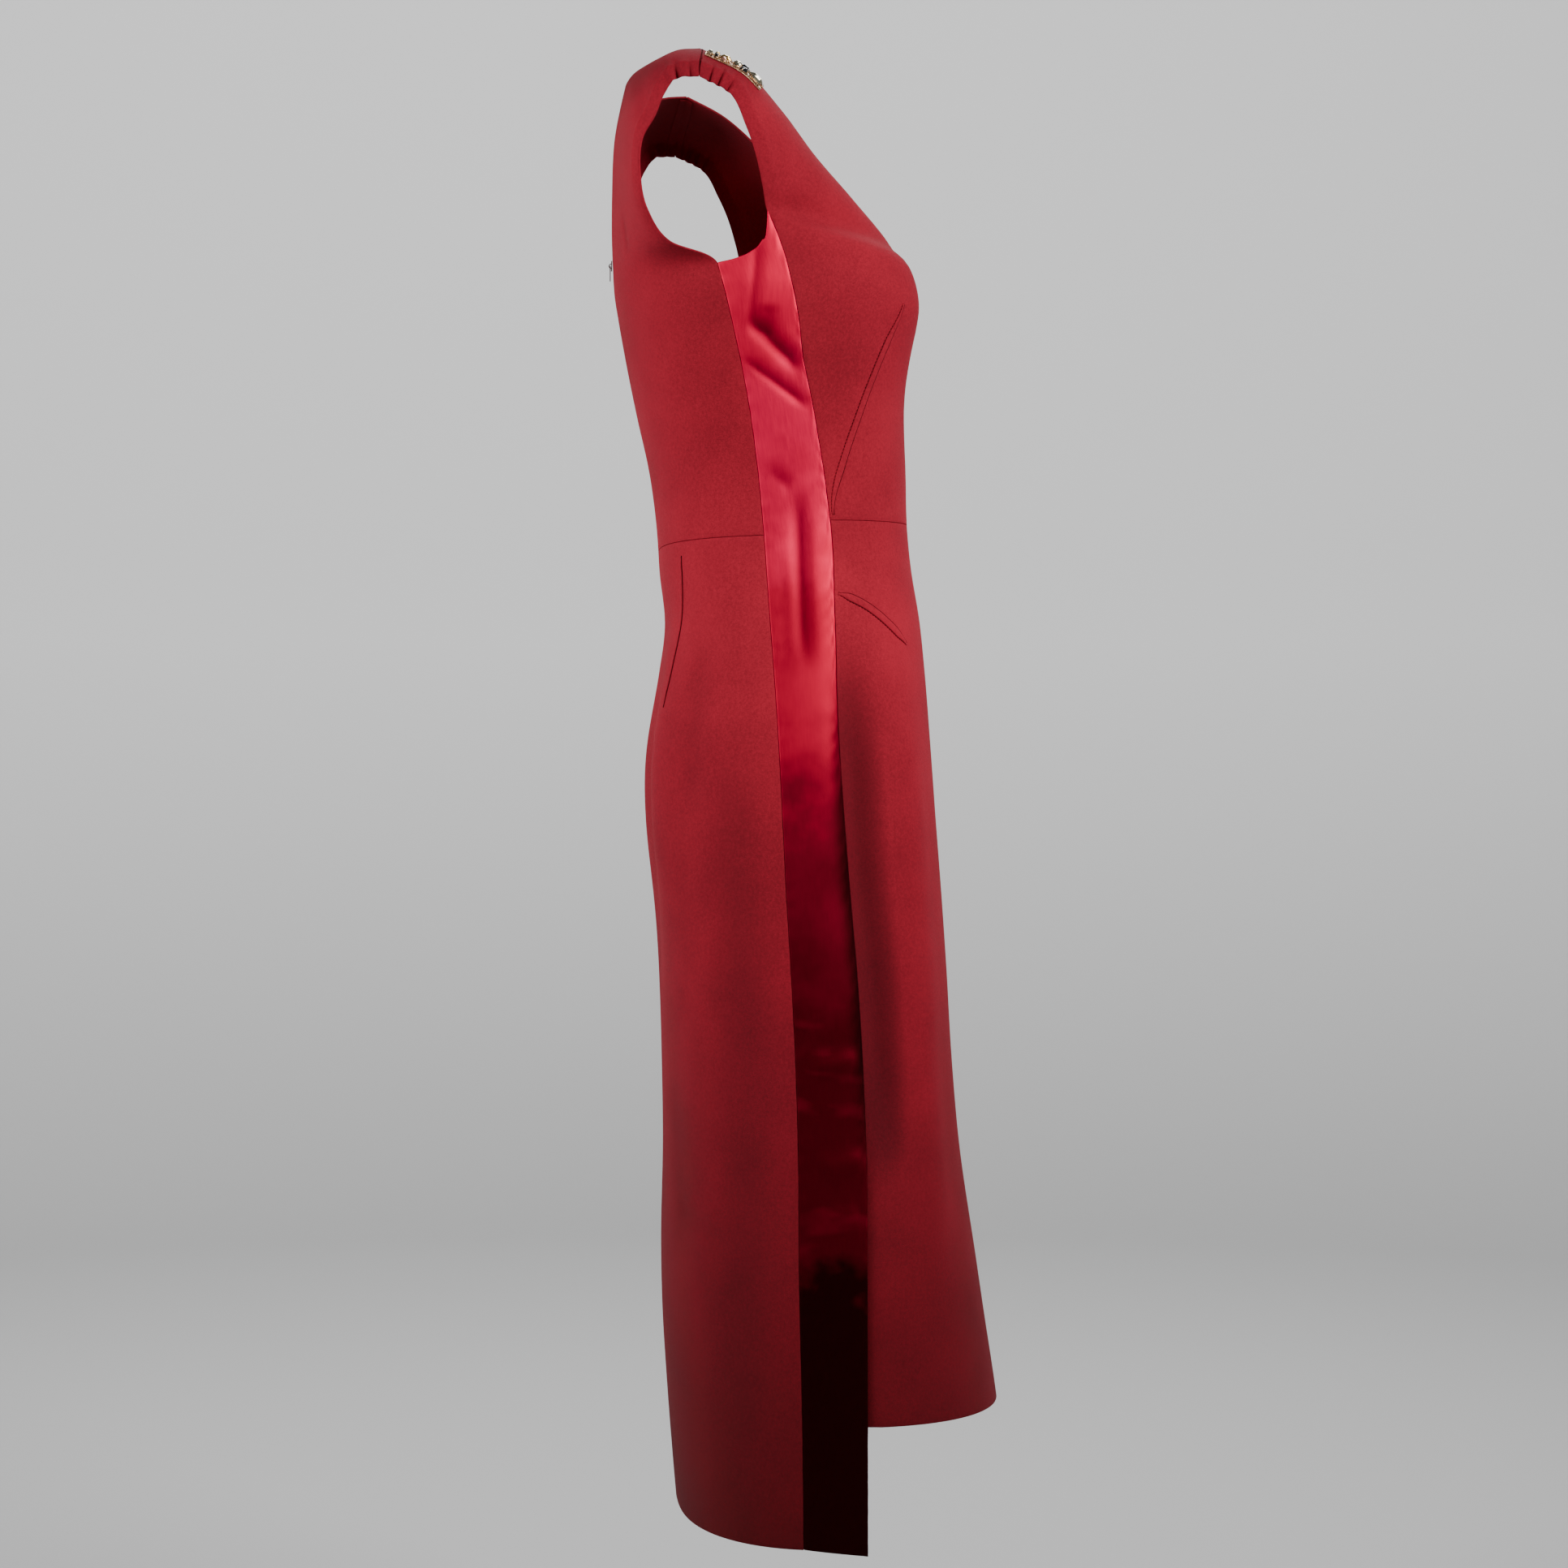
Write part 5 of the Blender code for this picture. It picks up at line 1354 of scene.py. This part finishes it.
def standing_plate(name, outlines, thickness, place):
    """Flat curve outlines, stood upright facing the back, with rounded edges, as a mesh."""
    curve = bpy.data.curves.new(name, "CURVE")
    curve.dimensions = "2D"
    curve.fill_mode = "BOTH"
    curve.extrude = thickness / 2 - PLATE_EDGE
    curve.bevel_depth = PLATE_EDGE
    curve.bevel_resolution = 2
    curve.offset = -PLATE_EDGE
    for outline in outlines:
        spline = curve.splines.new("POLY")
        spline.points.add(len(outline) - 1)
        for point, (x, y) in zip(spline.points, outline):
            point.co = (x, y, 0.0, 1.0)
        spline.use_cyclic_u = True
    guide = placed(name, curve)
    guide.rotation_euler = (math.pi / 2, 0.0, 0.0)
    guide.location = place
    bpy.context.view_layer.update()
    shape = bmesh.new()
    evaluated = guide.evaluated_get(bpy.context.evaluated_depsgraph_get())
    shape.from_mesh(bpy.data.meshes.new_from_object(evaluated))
    shape.transform(guide.matrix_world)
    bmesh.ops.remove_doubles(shape, verts=shape.verts, dist=0.000001)
    bpy.data.objects.remove(guide, do_unlink=True)
    return shape


ENAMEL = make_plain("enamelled_metal", (0.055, 0.004, 0.008), 0.30, 0.3)
middle_line = back_halves["left"][:, 0]
back_y = float(np.interp(-SLIDER_TOP_Z, -middle_line[:, 2], middle_line[:, 1]))
base_y = back_y + WALL / 2 + SLIDER_GAP
slider_middle = np.array((0.0, base_y + SLIDER_BASE / 2, SLIDER_TOP_Z - SLIDER_LENGTH / 2))
slider_outline = rounded_outline(
    SLIDER_WIDTH / 2, SLIDER_LENGTH / 2, -SLIDER_LENGTH / 2, SLIDER_CORNER)
slider = standing_plate("slider", (slider_outline,), SLIDER_BASE, slider_middle)
bridge = []
spans = []
for k in range(BRIDGE_STEPS + 1):
    ahead = math.cos(k * math.pi / BRIDGE_STEPS)
    up = math.sin(k * math.pi / BRIDGE_STEPS)
    above = SLIDER_BASE / 2 + (BRIDGE_HEIGHT + BRIDGE_CLEARANCE) * up
    bridge.append(slider_middle + np.array((0.0, above, BRIDGE_HALF_LENGTH * ahead)))
    spans.append((np.array((1.0, 0.0, 0.0)), np.array((0.0, up, ahead))))
add_tube(slider, bridge, [BRIDGE_WIRE] * len(bridge), spans, sides=10)
finished("slider_metal", slider, ENAMEL, ["zip_slider"])
tab = rounded_outline(PULL_HALF_WIDTH, PULL_BAR / 2, PULL_BAR / 2 - PULL_LENGTH, PULL_CORNER)
eye = rounded_outline(
    PULL_EYE_HALF_WIDTH, -PULL_BAR / 2, -PULL_BAR / 2 - PULL_EYE_LENGTH, PULL_EYE_CORNER)
hinge = (0.0, base_y + SLIDER_BASE + BRIDGE_HEIGHT / 2, SLIDER_TOP_Z - SLIDER_LENGTH / 2)
pull = standing_plate("pull", (tab, eye[::-1]), PULL_THICKNESS, hinge)
pull = finished("pull_metal", pull, ENAMEL, ["zip_pull"])
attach(pull, "pull_tab")

# Camera, light and floor. The camera stands level, 2.9 m from the dress on its right side
# and 5 degrees towards the back. Two soft lights stand either side of it, a weak one lights
# the far edge, and one lights the wall. The floor and the wall are plain; the pale wall's grey
# darkens down into the floor as painted shade.

CAMERA_TARGET = (0.0, -0.083, -0.609)
CAMERA_DISTANCE = 2.9
CAMERA_TURN = math.radians(5.0)
CAMERA_LENS = 77.2
FLOOR_Z = -1.48
FLOOR_RADII = (0.02, 1.0, 2.0, 3.0)
BEND_START = 3.6
BEND_HEIGHT = 1.4
COVE_RADIUS = 5.0
COVE_HEIGHT = 3.2
COVE_RISE = 1.2
COVE_TURNS = 64
# Grey of the floor and of the wall; the change between them is painted shade, darker downward.
FLOOR_GREY = 0.40
WALL_GREY = 0.68
LIGHTS = (
    # name, place, aim, size, power
    ("key", (-1.5, -1.7, 0.9), (0.0, 0.0, -0.3), 1.3, 92.0),
    ("fill", (-1.0, 2.5, 0.6), (0.0, 0.0, -0.7), 1.5, 92.0),
    ("rim", (1.8, -0.6, 1.3), (0.0, 0.0, -0.3), 1.4, 22.0),
    ("wall", (1.2, 0.0, 2.2), (5.0, 0.0, 0.0), 2.5, 160.0),
)


def make_camera():
    """Level camera on the wearer's right."""
    camera = placed("camera", bpy.data.cameras.new("camera"))
    camera.data.lens = CAMERA_LENS
    x, y, z = CAMERA_TARGET
    camera.location = (x - CAMERA_DISTANCE * math.cos(CAMERA_TURN),
                       y + CAMERA_DISTANCE * math.sin(CAMERA_TURN), z)
    camera.rotation_euler = (math.pi / 2, 0.0, -math.pi / 2 - CAMERA_TURN)
    bpy.context.scene.camera = camera


def make_cove():
    """Round floor that curves up into a low wall: a profile turned about the dress."""
    bend = np.linspace(0.0, math.pi / 2, 13)
    radius = np.concatenate((
        FLOOR_RADII, BEND_START + (COVE_RADIUS - BEND_START) * np.sin(bend), [COVE_RADIUS]))
    height = FLOOR_Z + np.concatenate((
        np.zeros(len(FLOOR_RADII)), BEND_HEIGHT * (1.0 - np.cos(bend)), [COVE_HEIGHT]))
    turn = np.linspace(0.0, 2 * math.pi, COVE_TURNS + 1)
    points = np.stack((radius[:, None] * np.cos(turn), radius[:, None] * np.sin(turn),
                       np.broadcast_to(height[:, None], (len(radius), len(turn)))), axis=-1)
    mesh = bpy.data.meshes.new("cove")
    mesh.from_pydata(points.reshape(-1, 3), [], grid_quads(points))
    mesh.shade_smooth()
    look, tree, shader = new_look("cove")
    _, _, height = cloth_coordinates(tree)
    # Painted shade: the grey darkens from the wall down to the floor.
    painted_shade_grey = remapped(tree, height, FLOOR_Z, FLOOR_Z + COVE_RISE, FLOOR_GREY, WALL_GREY)
    wire(tree, shader.inputs["Base Color"], painted_shade_grey)
    set_values(shader, Roughness=0.9)
    mesh.materials.append(look)
    placed("cove", mesh)


def add_light(name, place, aim, size, power):
    """Square area light turned towards a point."""
    lamp = placed(name, bpy.data.lights.new(name, "AREA"))
    lamp.data.size = size
    lamp.data.energy = power
    lamp.location = place
    x, y, z = unit(np.array(aim) - np.array(place))
    lamp.rotation_euler = (math.acos(-z), 0.0, math.atan2(y, x) - math.pi / 2)


make_camera()
make_cove()
for light in LIGHTS:
    add_light(*light)
world = bpy.data.worlds.new("studio")
world.use_nodes = True
set_values(world.node_tree.nodes["Background"], Color=(0.9, 0.92, 0.95, 1.0), Strength=0.14)
bpy.context.scene.world = world
